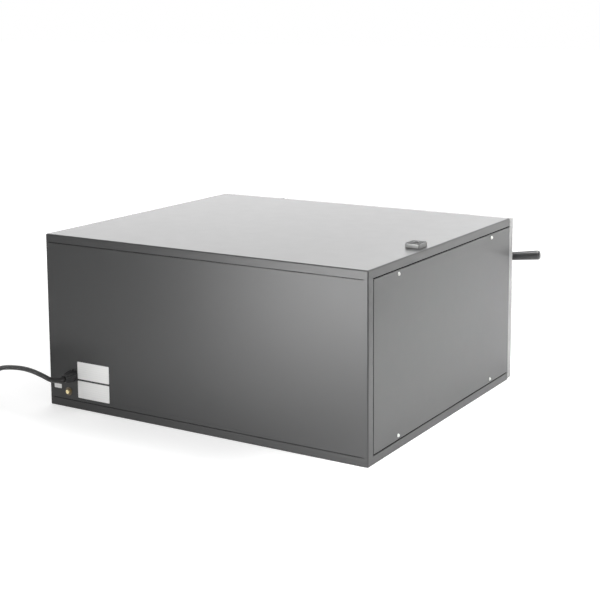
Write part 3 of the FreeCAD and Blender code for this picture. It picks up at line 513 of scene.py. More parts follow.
class Paint(Nodes):
    """A material's nodes: a Principled shader, Object coordinates and the patterns that feed it."""

    def __init__(self, name: str) -> None:
        """Start an empty material."""
        self.material = bpy.data.materials.new(name)
        self.material.use_nodes = True
        super().__init__(self.material.node_tree)
        self.tree.nodes.clear()
        self.output = self.add("ShaderNodeOutputMaterial")
        self.shader = self.add("ShaderNodeBsdfPrincipled")
        self.put(self.output.inputs["Surface"], self.shader.outputs["BSDF"])
        self.place = self.add("ShaderNodeTexCoord").outputs["Object"]

    def shade(self, **inputs: object) -> bpy.types.Material:
        """Set the shader's own sockets.

        Args:
            inputs: Input names, with underscores for spaces, and a value or a socket for each.

        Returns:
            The material.
        """
        for key, value in inputs.items():
            self.put(self.shader.inputs[key.replace("_", " ")], value)
        return self.material

    def along(self, axis: Axis) -> Socket:
        """Object coordinate along one direction."""
        return self.add("ShaderNodeSeparateXYZ", Vector=self.place).outputs[axis.value]

    def noise(self, scale: float, detail: float = 4.0, place: Socket | None = None) -> Socket:
        """Noise between 0 and 1 with so many lumps to the metre."""
        node = self.add("ShaderNodeTexNoise", Vector=place or self.place, Scale=scale, Detail=detail)
        return node.outputs["Fac"]

    def streaks(self, scale: Point, detail: float) -> Socket:
        """Noise with its own number of lumps to the metre along each direction."""
        stretched = self.add("ShaderNodeMapping", Vector=self.place, Scale=scale)
        return self.noise(1.0, detail, stretched.outputs["Vector"])

    def tones(self, share: Socket, *colours: Colour, low: float = 0.3, high: float = 0.7) -> Socket:
        """Colours in turn as a share rises.

        Args:
            share: A number from 0 to 1.
            colours: Two or more colours, evenly spread.
            low: The first colour's share.
            high: The last colour's share.

        Returns:
            The colour.
        """
        ramp = self.add("ShaderNodeValToRGB", Fac=share)
        stops = ramp.color_ramp.elements
        for place, colour in zip(np.linspace(low, high, len(colours))[1:-1], colours[1:-1]):
            stops.new(place).color = (*colour, 1)
        stops[0].position, stops[0].color = low, (*colours[0], 1)
        stops[-1].position, stops[-1].color = high, (*colours[-1], 1)
        return ramp.outputs["Color"]

    def shades(self, share: Socket, colour: Colour, swing: float, **ends: float) -> Socket:
        """One colour, darker and paler by a swing, between the ends that tones takes."""
        dark, pale = (tuple(min(c * factor, 1.0) for c in colour) for factor in (1 - swing, 1 + swing))
        return self.tones(share, dark, pale, **ends)

    def bumps(self, height: Socket, distance: float, strength: float = 0.6) -> Socket:
        """Normal bent by a height of so many metres."""
        return self.add("ShaderNodeBump", Height=height, Distance=distance,
                        Strength=strength).outputs["Normal"]


@dataclass(frozen=True)
class Finish(ABC):
    """A finish with a name, which makes its own material."""
    name: str

    @abstractmethod
    def material(self) -> bpy.types.Material:
        """Build the node material."""


@lru_cache(maxsize=None)
def made(finish: Finish) -> bpy.types.Material:
    """A finish's material, made once."""
    return finish.material()


@dataclass(frozen=True)
class PowderCoat(Finish):
    """Baked powder coat on sheet metal: fine orange peel, slight mottle, satin sheen."""
    colour: Colour
    ior: float = 1.5
    mottle: float = 0.03
    mottle_scale: float = 7.0
    roughness: float = 0.42
    sheen_swing: float = 0.015
    sheen_scale: float = 40.0
    peel: float = 0.03 * MM
    peel_scale: float = 900.0

    def material(self) -> bpy.types.Material:
        """Build the node material."""
        n = Paint(self.name)
        return n.shade(
            Base_Color=n.shades(n.noise(self.mottle_scale, detail=3.0), self.colour, self.mottle),
            Roughness=n.about(n.noise(self.sheen_scale, detail=5.0), self.roughness, self.sheen_swing),
            Normal=n.bumps(n.noise(self.peel_scale, detail=2.0), self.peel, strength=0.5),
            IOR=self.ior)


@dataclass(frozen=True)
class BrushedMetal(Finish):
    """Metal with a grain of fine scratches, drawn out along the direction whose scale is least."""
    colour: Colour
    roughness: float
    grain: Point
    depth: float = 0.01 * MM
    swing: float = 0.06
    patch_scale: float = 14.0
    sheen_swing: float = 0.08

    def material(self) -> bpy.types.Material:
        """Build the node material: the scratches make both the sheen and the relief.

        Returns:
            The material.
        """
        n = Paint(self.name)
        scratches = n.streaks(self.grain, detail=3.0)
        return n.shade(
            Base_Color=n.shades(n.noise(self.patch_scale), self.colour, self.swing),
            Metallic=1.0,
            Roughness=n.about(scratches, self.roughness, self.sheen_swing),
            Normal=n.bumps(scratches, self.depth))


@dataclass(frozen=True)
class ZincSheet(Finish):
    """Galvanised sheet: pale crystals of zinc, each with its own tone and sheen."""
    colour: Colour = (0.38, 0.39, 0.40)
    swing: float = 0.08
    crystal_scale: float = 150.0
    roughness: float = 0.41
    sheen_swing: float = 0.05
    frost: float = 0.02 * MM
    frost_scale: float = 500.0

    def material(self) -> bpy.types.Material:
        """Build the node material: each crystal's random number sets its tone and its sheen.

        Returns:
            The material.
        """
        n = Paint(self.name)
        crystal = n.add("ShaderNodeTexVoronoi", Vector=n.place, Scale=self.crystal_scale)
        tone = n.add("ShaderNodeSeparateColor", Color=crystal.outputs["Color"]).outputs["Red"]
        return n.shade(
            Base_Color=n.shades(tone, self.colour, self.swing, low=0.0, high=1.0),
            Metallic=1.0,
            Roughness=n.about(tone, self.roughness, self.sheen_swing),
            Normal=n.bumps(n.noise(self.frost_scale), self.frost, strength=0.4))


@dataclass(frozen=True)
class WoolBoard(Finish):
    """Pressed mineral wool: ochre fibres that lie in layers."""
    colour: Colour = (0.55, 0.47, 0.28)
    swing: float = 0.45
    along: Point = (90.0, 1400.0, 900.0)
    across: Point = (1300.0, 110.0, 900.0)
    pile: float = 1.2 * MM

    def material(self) -> bpy.types.Material:
        """Build the node material: the fibres are the mean of two noises, drawn out along and across.

        Returns:
            The material.
        """
        n = Paint(self.name)
        both = n.math("ADD", n.streaks(self.along, detail=6.0), n.streaks(self.across, detail=6.0))
        fibres = n.math("MULTIPLY", both, 0.5)
        return n.shade(Base_Color=n.shades(fibres, self.colour, self.swing), Roughness=0.95,
                       Normal=n.bumps(fibres, self.pile, strength=0.9))


@dataclass(frozen=True)
class MouldedPlastic(Finish):
    """Injection-moulded plastic with a fine spark-eroded grain."""
    colour: Colour
    roughness: float
    ior: float = 1.5
    swing: float = 0.12
    patch_scale: float = 25.0
    sheen_swing: float = 0.05
    grain_scale: float = 1600.0
    grain_depth: float = 0.02 * MM

    def material(self) -> bpy.types.Material:
        """Build the node material: the grain makes both the sheen and the relief.

        Returns:
            The material.
        """
        n = Paint(self.name)
        grain = n.noise(self.grain_scale, detail=3.0)
        return n.shade(
            Base_Color=n.shades(n.noise(self.patch_scale, detail=3.0), self.colour, self.swing),
            Roughness=n.about(grain, self.roughness, self.sheen_swing),
            Normal=n.bumps(grain, self.grain_depth),
            IOR=self.ior)


@dataclass(frozen=True)
class SmokedLens(Finish):
    """Smoked acrylic, polished, with faint wipe marks."""
    colour: Colour = (0.008, 0.009, 0.011)
    swing: float = 0.2
    patch_scale: float = 30.0
    wipe_scale: Point = (40.0, 200.0, 260.0)
    roughness: float = 0.08
    sheen_swing: float = 0.04
    ior: float = 1.49

    def material(self) -> bpy.types.Material:
        """Build the node material: the wipe marks are noise drawn out across the lens.

        Returns:
            The material.
        """
        n = Paint(self.name)
        wipes = n.streaks(self.wipe_scale, detail=4.0)
        return n.shade(Base_Color=n.shades(n.noise(self.patch_scale), self.colour, self.swing),
                       Roughness=n.about(wipes, self.roughness, self.sheen_swing), IOR=self.ior)


@dataclass(frozen=True)
class ClearGlass(Finish):
    """Float glass with a faint green tint and barely uneven polish."""
    tint: Colour = (0.93, 0.97, 0.95)
    swing: float = 0.02
    tint_scale: float = 12.0
    polish_scale: float = 60.0
    dullest: float = 0.025
    ior: float = 1.5

    def material(self) -> bpy.types.Material:
        """Build the node material."""
        n = Paint(self.name)
        return n.shade(Base_Color=n.shades(n.noise(self.tint_scale), self.tint, self.swing),
                       Roughness=n.between(n.noise(self.polish_scale), 0.0, self.dullest),
                       Transmission_Weight=1.0, IOR=self.ior)


@dataclass(frozen=True)
class MattRubber(Finish):
    """Soft rubber: matt, with a bloom of paler dust and a fine skin."""
    colour: Colour
    roughness: float = 0.62
    bloom: float = 0.3
    bloom_scale: float = 120.0
    sheen_swing: float = 0.08
    sheen_scale: float = 60.0
    skin: float = 0.03 * MM
    skin_scale: float = 1100.0

    def material(self) -> bpy.types.Material:
        """Build the node material."""
        n = Paint(self.name)
        return n.shade(
            Base_Color=n.shades(n.noise(self.bloom_scale, detail=6.0), self.colour, self.bloom),
            Roughness=n.about(n.noise(self.sheen_scale), self.roughness, self.sheen_swing),
            Normal=n.bumps(n.noise(self.skin_scale), self.skin, strength=0.5))


@dataclass(frozen=True)
class TintedSheath(Finish):
    """Heater sheath of steel that heat has coloured blue, brown and straw."""
    colours: tuple[Colour, ...] = ((0.16, 0.15, 0.17), (0.30, 0.28, 0.26), (0.38, 0.31, 0.22))
    tint_scale: float = 22.0
    roughness: float = 0.40
    sheen_swing: float = 0.08
    sheen_scale: float = 300.0
    crust_depth: float = 0.03 * MM
    crust_scale: float = 900.0

    def material(self) -> bpy.types.Material:
        """Build the node material."""
        n = Paint(self.name)
        return n.shade(
            Base_Color=n.tones(n.noise(self.tint_scale, detail=3.0), *self.colours),
            Metallic=1.0,
            Roughness=n.about(n.noise(self.sheen_scale), self.roughness, self.sheen_swing),
            Normal=n.bumps(n.noise(self.crust_scale), self.crust_depth))


@dataclass(frozen=True)
class RuledFilm(Finish):
    """Satin white film, blank but for rows of faint hairlines."""
    colour: Colour = (0.84, 0.84, 0.83)
    row: float = 3.5 * MM
    hairline: float = 0.09
    ink: float = 0.82
    ink_range: Pair = (0.1, 0.9)
    ink_scale: float = 420.0
    roughness: float = 0.43
    sheen_swing: float = 0.05
    sheen_scale: float = 90.0
    grain: float = 0.01 * MM
    grain_scale: float = 500.0

    def material(self) -> bpy.types.Material:
        """Build the node material: a row's share under the hairline's width is inked unevenly.

        Returns:
            The material.
        """
        n = Paint(self.name)
        share = n.math("FRACT", n.math("DIVIDE", n.along(Axis.Z), self.row))
        uneven = n.between(n.noise(self.ink_scale, detail=5.0), *self.ink_range)
        faint = n.math("MULTIPLY", n.math("LESS_THAN", share, self.hairline), uneven)
        inked = tuple(c * self.ink for c in self.colour)
        return n.shade(Base_Color=n.tones(faint, self.colour, inked, low=0.0, high=self.ink_range[1]),
                       Roughness=n.about(n.noise(self.sheen_scale), self.roughness, self.sheen_swing),
                       Normal=n.bumps(n.noise(self.grain_scale), self.grain, strength=0.3))


@dataclass(frozen=True)
class LitSegment(Finish):
    """Display segment that glows a little unevenly."""
    colour: Colour = (0.95, 0.42, 0.10)
    swing: float = 0.1
    glow_scale: float = 500.0

    def material(self) -> bpy.types.Material:
        """Build the node material: it shines in the colour that it has.

        Returns:
            The material.
        """
        n = Paint(self.name)
        glow = n.shades(n.noise(self.glow_scale, detail=2.0), self.colour, self.swing)
        return n.shade(Base_Color=glow, Roughness=0.4, Emission_Color=glow, Emission_Strength=1.0)


@dataclass(frozen=True)
class TwoParts(Finish):
    """One piece whose metal part lies below a level along an axis, and its other part above it."""
    axis: Axis
    level: float
    metal: Colour = (0.66, 0.63, 0.57)
    other: Colour = (0.014, 0.014, 0.015)
    other_metallic: float = 0.0
    roughness: float = 0.4
    sheen_swing: float = 0.06
    metal_scale: float = 200.0
    metal_swing: float = 0.08
    other_scale: float = 60.0
    other_swing: float = 0.15
    grain_scale: float = 1500.0
    grain_depth: float = 0.02 * MM

    def material(self) -> bpy.types.Material:
        """Build the node material: the level picks the colour and how metallic it is.

        Returns:
            The material.
        """
        n = Paint(self.name)
        below = n.math("LESS_THAN", n.along(self.axis), self.level)
        base = n.add("ShaderNodeMix", {"data_type": "RGBA"}, Factor=below)
        n.put(base.inputs[MIX_FIRST], n.shades(n.noise(self.other_scale), self.other, self.other_swing))
        n.put(base.inputs[MIX_SECOND], n.shades(n.noise(self.metal_scale), self.metal, self.metal_swing))
        grain = n.noise(self.grain_scale, detail=3.0)
        return n.shade(Base_Color=base.outputs[MIX_RESULT],
                       Metallic=n.between(below, self.other_metallic, 1.0),
                       Roughness=n.about(grain, self.roughness, self.sheen_swing),
                       Normal=n.bumps(grain, self.grain_depth, strength=0.5))


FINISHES: dict[Slot, Finish] = {Slot(finish.name): finish for finish in (
    PowderCoat("anthracite_coat", (0.026, 0.0262, 0.0265), ior=1.45, mottle=0.02),
    PowderCoat("pale_coat", (0.25, 0.25, 0.247)),
    ZincSheet("zinc_sheet"),
    BrushedMetal("chamber_steel", (0.60, 0.60, 0.59), 0.34, (18.0, 1800.0, 1800.0)),
    WoolBoard("mineral_wool"),
    BrushedMetal("bright_screws", (0.54, 0.54, 0.52), 0.34, (600.0, 600.0, 600.0)),
    MouldedPlastic("window_frame", (0.022, 0.022, 0.023), 0.42),
    ClearGlass("window_pane"),
    MattRubber("seal_rubber", (0.02, 0.02, 0.02)),
    BrushedMetal("hinge_steel", (0.47, 0.47, 0.46), 0.36, (2000.0, 2000.0, 40.0)),
    BrushedMetal("pin_steel", (0.44, 0.44, 0.44), 0.32, (1500.0, 60.0, 1500.0), 0.003 * MM),
    BrushedMetal("latch_plate", (0.40, 0.40, 0.41), 0.32, (900.0, 900.0, 900.0), 0.002 * MM, 0.04),
    MouldedPlastic("grip_plastic", (0.014, 0.014, 0.015), 0.36),
    MouldedPlastic("black_plastic", (0.02, 0.02, 0.021), 0.5),
    SmokedLens("display_panel"),
    MouldedPlastic("button_plastic", (0.045, 0.046, 0.05), 0.44),
    MouldedPlastic("rocker_plastic", (0.016, 0.016, 0.016), 0.26),
    BrushedMetal("motor_body", (0.52, 0.52, 0.53), 0.46, (900.0, 900.0, 900.0), 0.05 * MM),
    TintedSheath("heater_sheath"),
    BrushedMetal("roller_steel", (0.56, 0.56, 0.56), 0.28, (2600.0, 20.0, 20.0), 0.003 * MM),
    BrushedMetal("bush_brass", (0.66, 0.49, 0.20), 0.24, (500.0, 500.0, 500.0)),
    RuledFilm("plate_white"),
    MattRubber("cord_sheath", (0.030, 0.030, 0.030), 0.5),
    MouldedPlastic("outlet_plastic", (0.30, 0.30, 0.298), 0.5),
)}
# Pale face plate of the outlet block: painted light that makes the block's rear-facing side read as lit
FACE_LIGHT_FINISH = MouldedPlastic("outlet_face_painted_light", (0.70, 0.70, 0.69), 0.45)
PAD_FINISH = MouldedPlastic("outlet_pad", (0.05, 0.05, 0.05), 0.7, 1.25)
# Seam strips: near-black and almost without sheen, painted shade in the panel joints
SEAM_SHADE_FINISH = MouldedPlastic("seam_painted_shade", (0.004, 0.004, 0.004), 0.9, 1.12)
MARK_FINISH = MouldedPlastic("mark_print", (0.62, 0.62, 0.61), 0.5)
LIT_FINISH = LitSegment("lit_segment")
PLUG_FINISH = TwoParts("plug_moulding", Axis.X, 363.4 * MM)
EARTH_FINISH = TwoParts("earth_brass", Axis.Y, 257.05 * MM, (0.13, 0.11, 0.08), (0.86, 0.74, 0.44), 1.0, 0.3)
WASHER_FINISH = BrushedMetal("washer_bronze", (0.15, 0.125, 0.09), 0.42, (700.0, 700.0, 700.0))
BRACKET_FINISH = BrushedMetal("bracket_steel", (0.54, 0.54, 0.54), 0.36, (1800.0, 18.0, 1800.0), 0.004 * MM)
TIE_FINISH = MattRubber("tie_strap", (0.02, 0.02, 0.021), 0.8)


def dress_frame() -> None:
    """Give every node of the frame its own finish, or else that of its slot in the record."""
    special = {"mains_plug": PLUG_FINISH, "earth_screw": EARTH_FINISH, "roller_brackets": BRACKET_FINISH}
    for row in frame["record"]["subparts"]:
        node, slot = row["node"], Slot(row["material_slot"])
        mesh = frame["nodes"][node].data
        mesh.materials.clear()
        mesh.materials.append(made(special.get(node, FINISHES[slot])))
        LOG.info("%s dressed in %s", node, slot.value)


# Sub-assemblies

@dataclass
class MainsCord:
    """Mains lead, its put-away coil, the strap round it and the ribs of the plug."""
    radius: float = 3.75 * MM
    length: float = 2.10
    floor_height: float = 4.7 * MM
    route_mm: tuple[Point, ...] = (
        (243.0, 300.0, 54.3), (253.5, 317.5, 69.5), (278.0, 323.5, 77.0), (312.0, 322.0, 74.7),
        (350.0, 313.5, 65.5), (380.0, 302.0, 42.0), (405.0, 290.0, 17.5), (432.0, 279.5, 4.7),
        (458.0, 279.5, 4.7))
    coil_outer: float = 56.5 * MM
    coil_pitch: float = 8.1 * MM
    coil_turns: int = 3
    climb_turns: float = 0.5
    points_per_turn: int = 16
    spline_order: int = 3
    smoothness: int = 6
    strap_turn: float = 0.75
    strap_width: float = 13.0 * MM
    strap_thickness: float = 0.7 * MM
    strap_slack: Pair = (0.4 * MM, 0.2 * MM)
    lap_share: float = 0.55
    lap_thickness: float = 0.98 * MM
    lap_corner: float = 2.0 * MM
    lap_ease: float = 0.4 * MM
    plug_height: float = 18.3 * MM
    sleeve_length: float = 20.0 * MM
    sleeve_radii: Pair = (5.2 * MM, 8.0 * MM)
    rib_count: int = 6
    rib_run: Pair = (2.0 * MM, 17.0 * MM)
    rib_mm: tuple[Pair, ...] = ((-0.4, 0.0), (0.7, 0.3), (0.8, 1.3), (-0.4, 1.6))
    collar_mm: tuple[Pair, ...] = ((17.6, 34.0), (18.5, 34.6), (18.5, 40.0), (17.6, 40.6))
    collar_places: int = 64

    @property
    def coil_centre(self) -> Array:
        """Middle of the coil on the floor."""
        return np.array(self.route_mm[-1][:2]) * MM + np.array([2 * self.radius, self.coil_outer])

    @property
    def plug_end(self) -> Array:
        """Where the cord goes into the plug's sleeve."""
        low, high = (np.array(corner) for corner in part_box("mains_plug"))
        return np.array([high[0], (low[1] + high[1]) / 2, self.plug_height])

    @staticmethod
    def exit_point() -> Array:
        """Middle of the gland's mouth."""
        low, high = (np.array(corner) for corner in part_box("cord_gland"))
        return np.array([(low[0] + high[0]) / 2, high[1], (low[2] + high[2]) / 2])

    def coil_points(self) -> Array:
        """Turns of the coil: in at a steady rate, up a layer, and out again.

        The radius falls by a pitch each turn until the middle and rises after it. A spline of order 3 cuts
        inside its points by the cosine of half a step, which the radius makes up for. The climb to the second
        layer and the one to the plug each follow half a cosine wave.

        Returns:
            Points, shaped (n, 3).
        """
        last = 2 * self.coil_turns + self.climb_turns
        turns = np.linspace(0, last, round(last * self.points_per_turn) + 1)
        radius = self.coil_outer - self.coil_pitch * np.minimum(turns, last - turns)
        radius /= math.cos(math.pi / self.points_per_turn)
        climb, leave = ((1 - np.cos(np.pi * np.clip((turns - start) / self.climb_turns, 0, 1))) / 2
                        for start in (self.coil_turns, last - self.climb_turns))
        rise = self.plug_height - self.floor_height - self.coil_pitch
        flat = self.coil_centre + radius[:, None] * unit(2 * np.pi * turns - QUARTER)
        return np.column_stack([flat, self.floor_height + self.coil_pitch * climb + rise * leave])

    def build(self) -> None:
        """Make the cord as one smooth spline along the route and the coil, with its strap and plug ribs."""
        route = np.array(self.route_mm) * MM
        points = np.vstack([self.exit_point(), route, self.coil_points(), self.plug_end])
        curve = bpy.data.curves.new("mains_cord", "CURVE")
        curve.dimensions = "3D"
        spline = curve.splines.new("NURBS")
        spline.points.add(len(points) - 1)
        spline.points.foreach_set("co", np.column_stack([points, np.ones(len(points))]).ravel())
        spline.order_u = self.spline_order
        spline.use_endpoint_u = True
        spline.resolution_u = self.smoothness
        curve.bevel_depth = self.radius
        curve.bevel_resolution = self.smoothness
        curve.use_fill_caps = True
        curve.materials.append(made(FINISHES[Slot.CORD]))
        cord = linked("mains_cord", curve)
        settle(cord, Body.CABINET, Slot.CORD, ("cord_lead", "cord_coil"))
        strap = self.strap().piece("coil_strap", Body.CABINET, Slot.CORD, finish=TIE_FINISH)
        ribs = self.plug_ribs().piece("plug_ribs", Body.CABINET, Slot.CORD)

    def strap(self) -> Shape:
        """Strap round the bundle of turns on the coil's cabinet side: a thin section round its outline.

        Returns:
            The shape.
        """
        outer = self.coil_outer - self.coil_pitch * self.strap_turn
        inner = outer - self.coil_pitch * (self.coil_turns - 1)
        width = outer - inner + 2 * self.radius + self.strap_slack[0]
        height = self.coil_pitch + 2 * self.radius + self.strap_slack[1]
        x, y = self.coil_centre - ((inner + outer) / 2, 0)
        z = self.floor_height + self.coil_pitch / 2
        half = self.strap_width / 2
        band = framed(Seat((x, y, z), REAR), (width, height), self.radius,
                      oblong((0, self.strap_thickness), (-half, half)))
        lap_seat = Seat((x, y, z + (height + self.strap_thickness) / 2), UP)
        lap_size = (self.lap_share * width, self.strap_width, self.lap_thickness)
        return band + slab(lap_seat, lap_size, self.lap_corner, self.lap_ease)

    def plug_ribs(self) -> Shape:
        """Rings of the plug's sleeve, which widens evenly from its mouth, and the collar behind its face.

        Returns:
            The shape.
        """
        seat = Seat(tuple(self.plug_end), LEFT, REAR)
        mouth, root = self.sleeve_radii
        section = np.array(self.rib_mm) * MM
        rings = [ring_of(section + (mouth + (root - mouth) * along / self.sleeve_length, along), seat)
                 for along in np.linspace(*self.rib_run, self.rib_count)]
        return total([*rings, ring_of(np.array(self.collar_mm) * MM, seat, self.collar_places)])


@dataclass
class RearFittings:
    """Blank film plates, the gland's ribbed cap and the earth screw's washer on the rear panel."""
    rear_y: float = 256.0 * MM
    film: float = 0.4 * MM
    film_corner: float = 1.2 * MM
    film_ease: float = 0.15 * MM
    plates: tuple[tuple[float, float, float, float], ...] = (
        (201.4 * MM, 33.6 * MM, 64 * MM, 28 * MM), (201.4 * MM, 64.6 * MM, 64 * MM, 28 * MM),
        (275.3 * MM, 33.0 * MM, 15 * MM, 7 * MM))
    cap_ribs: int = 14
    cap_rib: float = 0.55 * MM
    cap_rib_places: int = 8
    cap_levels_mm: tuple[float, ...] = (-18.0, -17.6, -16.5, -12.0, -8.0, -4.5, -2.0, -0.6, 0.0)
    cap_radii_mm: tuple[float, ...] = (8.5, 9.1, 9.2, 8.6, 7.8, 7.0, 6.4, 5.8, 5.0)
    cap_rib_shares: tuple[float, ...] = (0.2, 0.8, 1.0, 1.0, 0.9, 0.7, 0.3, 0.0, 0.0)
    earth: Pair = (252.8 * MM, 27.0 * MM)
    washer_radius: float = 6.7 * MM
    washer_teeth: int = 16
    washer_tooth: float = 0.35 * MM
    washer_places: int = 96
    washer_levels_mm: tuple[float, ...] = (0.0, 0.5, 0.7)
    washer_shares: tuple[float, ...] = (1.0, 1.0, 0.96)

    def build(self) -> None:
        """Make the plates, the cap and the washer."""
        films = [slab(Seat((x, self.rear_y, z), REAR), (width, height, self.film), self.film_corner,
                      self.film_ease)
                 for x, z, width, height in self.plates]
        total(films).piece("film_plates", Body.CABINET, Slot.PLATE, ("rear_plates",))
        self.gland_cap().piece("gland_cap", Body.CABINET, Slot.BLACK)
        self.star_washer().piece("earth_washer", Body.CABINET, Slot.BRASS, finish=WASHER_FINISH)

    def gland_cap(self) -> Shape:
        """Ribbed cap over the gland's cone: its radius is the cone's plus ribs that follow a cosine round it.

        The ribs fade out towards the mouth, where the cap turns in to the cord.

        Returns:
            The shape.
        """
        level, base = (np.array(numbers)[:, None] * MM for numbers in (self.cap_levels_mm, self.cap_radii_mm))
        share = np.array(self.cap_rib_shares)[:, None]
        angle = angles(self.cap_rib_places * self.cap_ribs)
        radius = base + self.cap_rib * share * np.cos(self.cap_ribs * angle)
        return loft(Seat(tuple(MainsCord.exit_point()), REAR), radius[..., None] * unit(angle), level)

    def star_washer(self) -> Shape:
        """Toothed washer round the earth screw: its radius follows a cosine with so many teeth.

        Returns:
            The shape.
        """
        angle = angles(self.washer_places)
        outer = self.washer_radius + self.washer_tooth * np.cos(self.washer_teeth * angle)
        radius = np.array(self.washer_shares)[:, None] * outer
        x, z = self.earth
        return loft(Seat((x, self.rear_y, z), REAR), radius[..., None] * unit(angle),
                    np.array(self.washer_levels_mm)[:, None] * MM)


@dataclass
class PanelSeams:
    """Near-black strips in the open joints round the side panels, and above and below the rear panel: painted
    shade for the dark inside of the gaps.
    """
    side_x: float = 290.5 * MM
    side_zs: tuple[float, ...] = (14.0 * MM, 266.0 * MM)
    side_run: Pair = (-239.9 * MM, 241.4 * MM)
    upright_y: float = 240.5 * MM
    upright: float = 249.9 * MM
    middle_z: float = 140.0 * MM
    side_width: float = 1.9 * MM
    rear_y: float = 254.5 * MM
    rear_zs: tuple[float, ...] = (13.5 * MM, 266.5 * MM)
    rear_run: float = 569.6 * MM
    rear_width: float = 0.9 * MM
    thickness: float = 0.5 * MM
    corner: float = 0.2 * MM
    ease: float = 0.1 * MM

    def build(self) -> None:
        """Make all the strips as one piece."""
        start, end = self.side_run
        strips = []
        for x, out in ((-self.side_x, LEFT), (self.side_x, RIGHT)):
            strips += [self.strip(Seat((x, (start + end) / 2, z), out, REAR), end - start, self.side_width)
                       for z in self.side_zs]
            corner_seat = Seat((x, self.upright_y, self.middle_z), out, UP)
            strips.append(self.strip(corner_seat, self.upright, self.side_width))
        strips += [self.strip(Seat((0, self.rear_y, z), REAR), self.rear_run, self.rear_width)
                   for z in self.rear_zs]
        # The strips' finish is painted shade for the depth of the joints
        total(strips).piece("seam_shade_strips", Body.CABINET, Slot.SEAL, finish=SEAM_SHADE_FINISH)

    def strip(self, seat: Seat, length: float, width: float) -> Shape:
        """One flat strip along the seat's rightward way."""
        return slab(seat, (length, width, self.thickness), self.corner, self.ease)


@dataclass
class FilamentOutlet:
    """Top pad, pale rear face plate and collet of the outlet block on the top cover; the plate's pale tone is
    painted light on the block's rear-facing side.
    """
    middle: Pair = (-270.0 * MM, 66.5 * MM)
    top: float = 286.5 * MM
    pad: Point = (22.8 * MM, 25.8 * MM, 0.5 * MM)
    pad_corner: float = 1.6 * MM
    pad_ease: float = 0.15 * MM
    bore: float = 2.1 * MM
    bore_flare: float = 1.06
    face_place: Point = (-270.0 * MM, 80.0 * MM, 283.2 * MM)
    face: Point = (20.4 * MM, 5.6 * MM, 0.4 * MM)
    face_corner: float = 0.8 * MM
    face_ease: float = 0.15 * MM
    collet_mm: tuple[Pair, ...] = ((2.15, -0.2), (4.6, -0.2), (4.6, 0.9), (4.3, 1.3), (3.0, 1.3), (2.15, 0.7))

    def build(self) -> None:
        """Make the pad on the block's top, the pale face plate behind it, whose tone is painted light, and
        the collet ring round the bore.
        """
        rear = slab(Seat(self.face_place, REAR, LEFT), self.face, self.face_corner, self.face_ease)
        rear.piece("outlet_face_painted_light", Body.CABINET, Slot.OUTLET, finish=FACE_LIGHT_FINISH)
        seat = Seat((*self.middle, self.top), UP)
        self.pierced_pad(seat).piece("outlet_pad", Body.CABINET, Slot.OUTLET, finish=PAD_FINISH)
        ring_of(np.array(self.collet_mm) * MM, seat).piece("outlet_collet", Body.CABINET, Slot.BLACK)

    def pierced_pad(self, seat: Seat) -> Shape:
        """Flat pad with the bore through it.

        Rings go up the pad's round-cornered outline, across its top and down a circle round the bore. Each
        place on the circle lies in the direction of the outline's own place.

        Args:
            seat: Middle of the pad's underside.

        Returns:
            The shape.
        """
        width, height, thick = self.pad
        outline, normals = rounded_outline((width, height), self.pad_corner)
        hole = self.bore * outline / np.linalg.norm(outline, axis=1, keepdims=True)
        rims = [outline, outline, outline - self.pad_ease * normals, self.bore_flare * hole, hole, hole]
        level = np.array([0.0, thick - self.pad_ease, thick, thick, thick - self.pad_ease, 0.0])
        return loft(seat, np.stack(rims), level[:, None], looped=True)


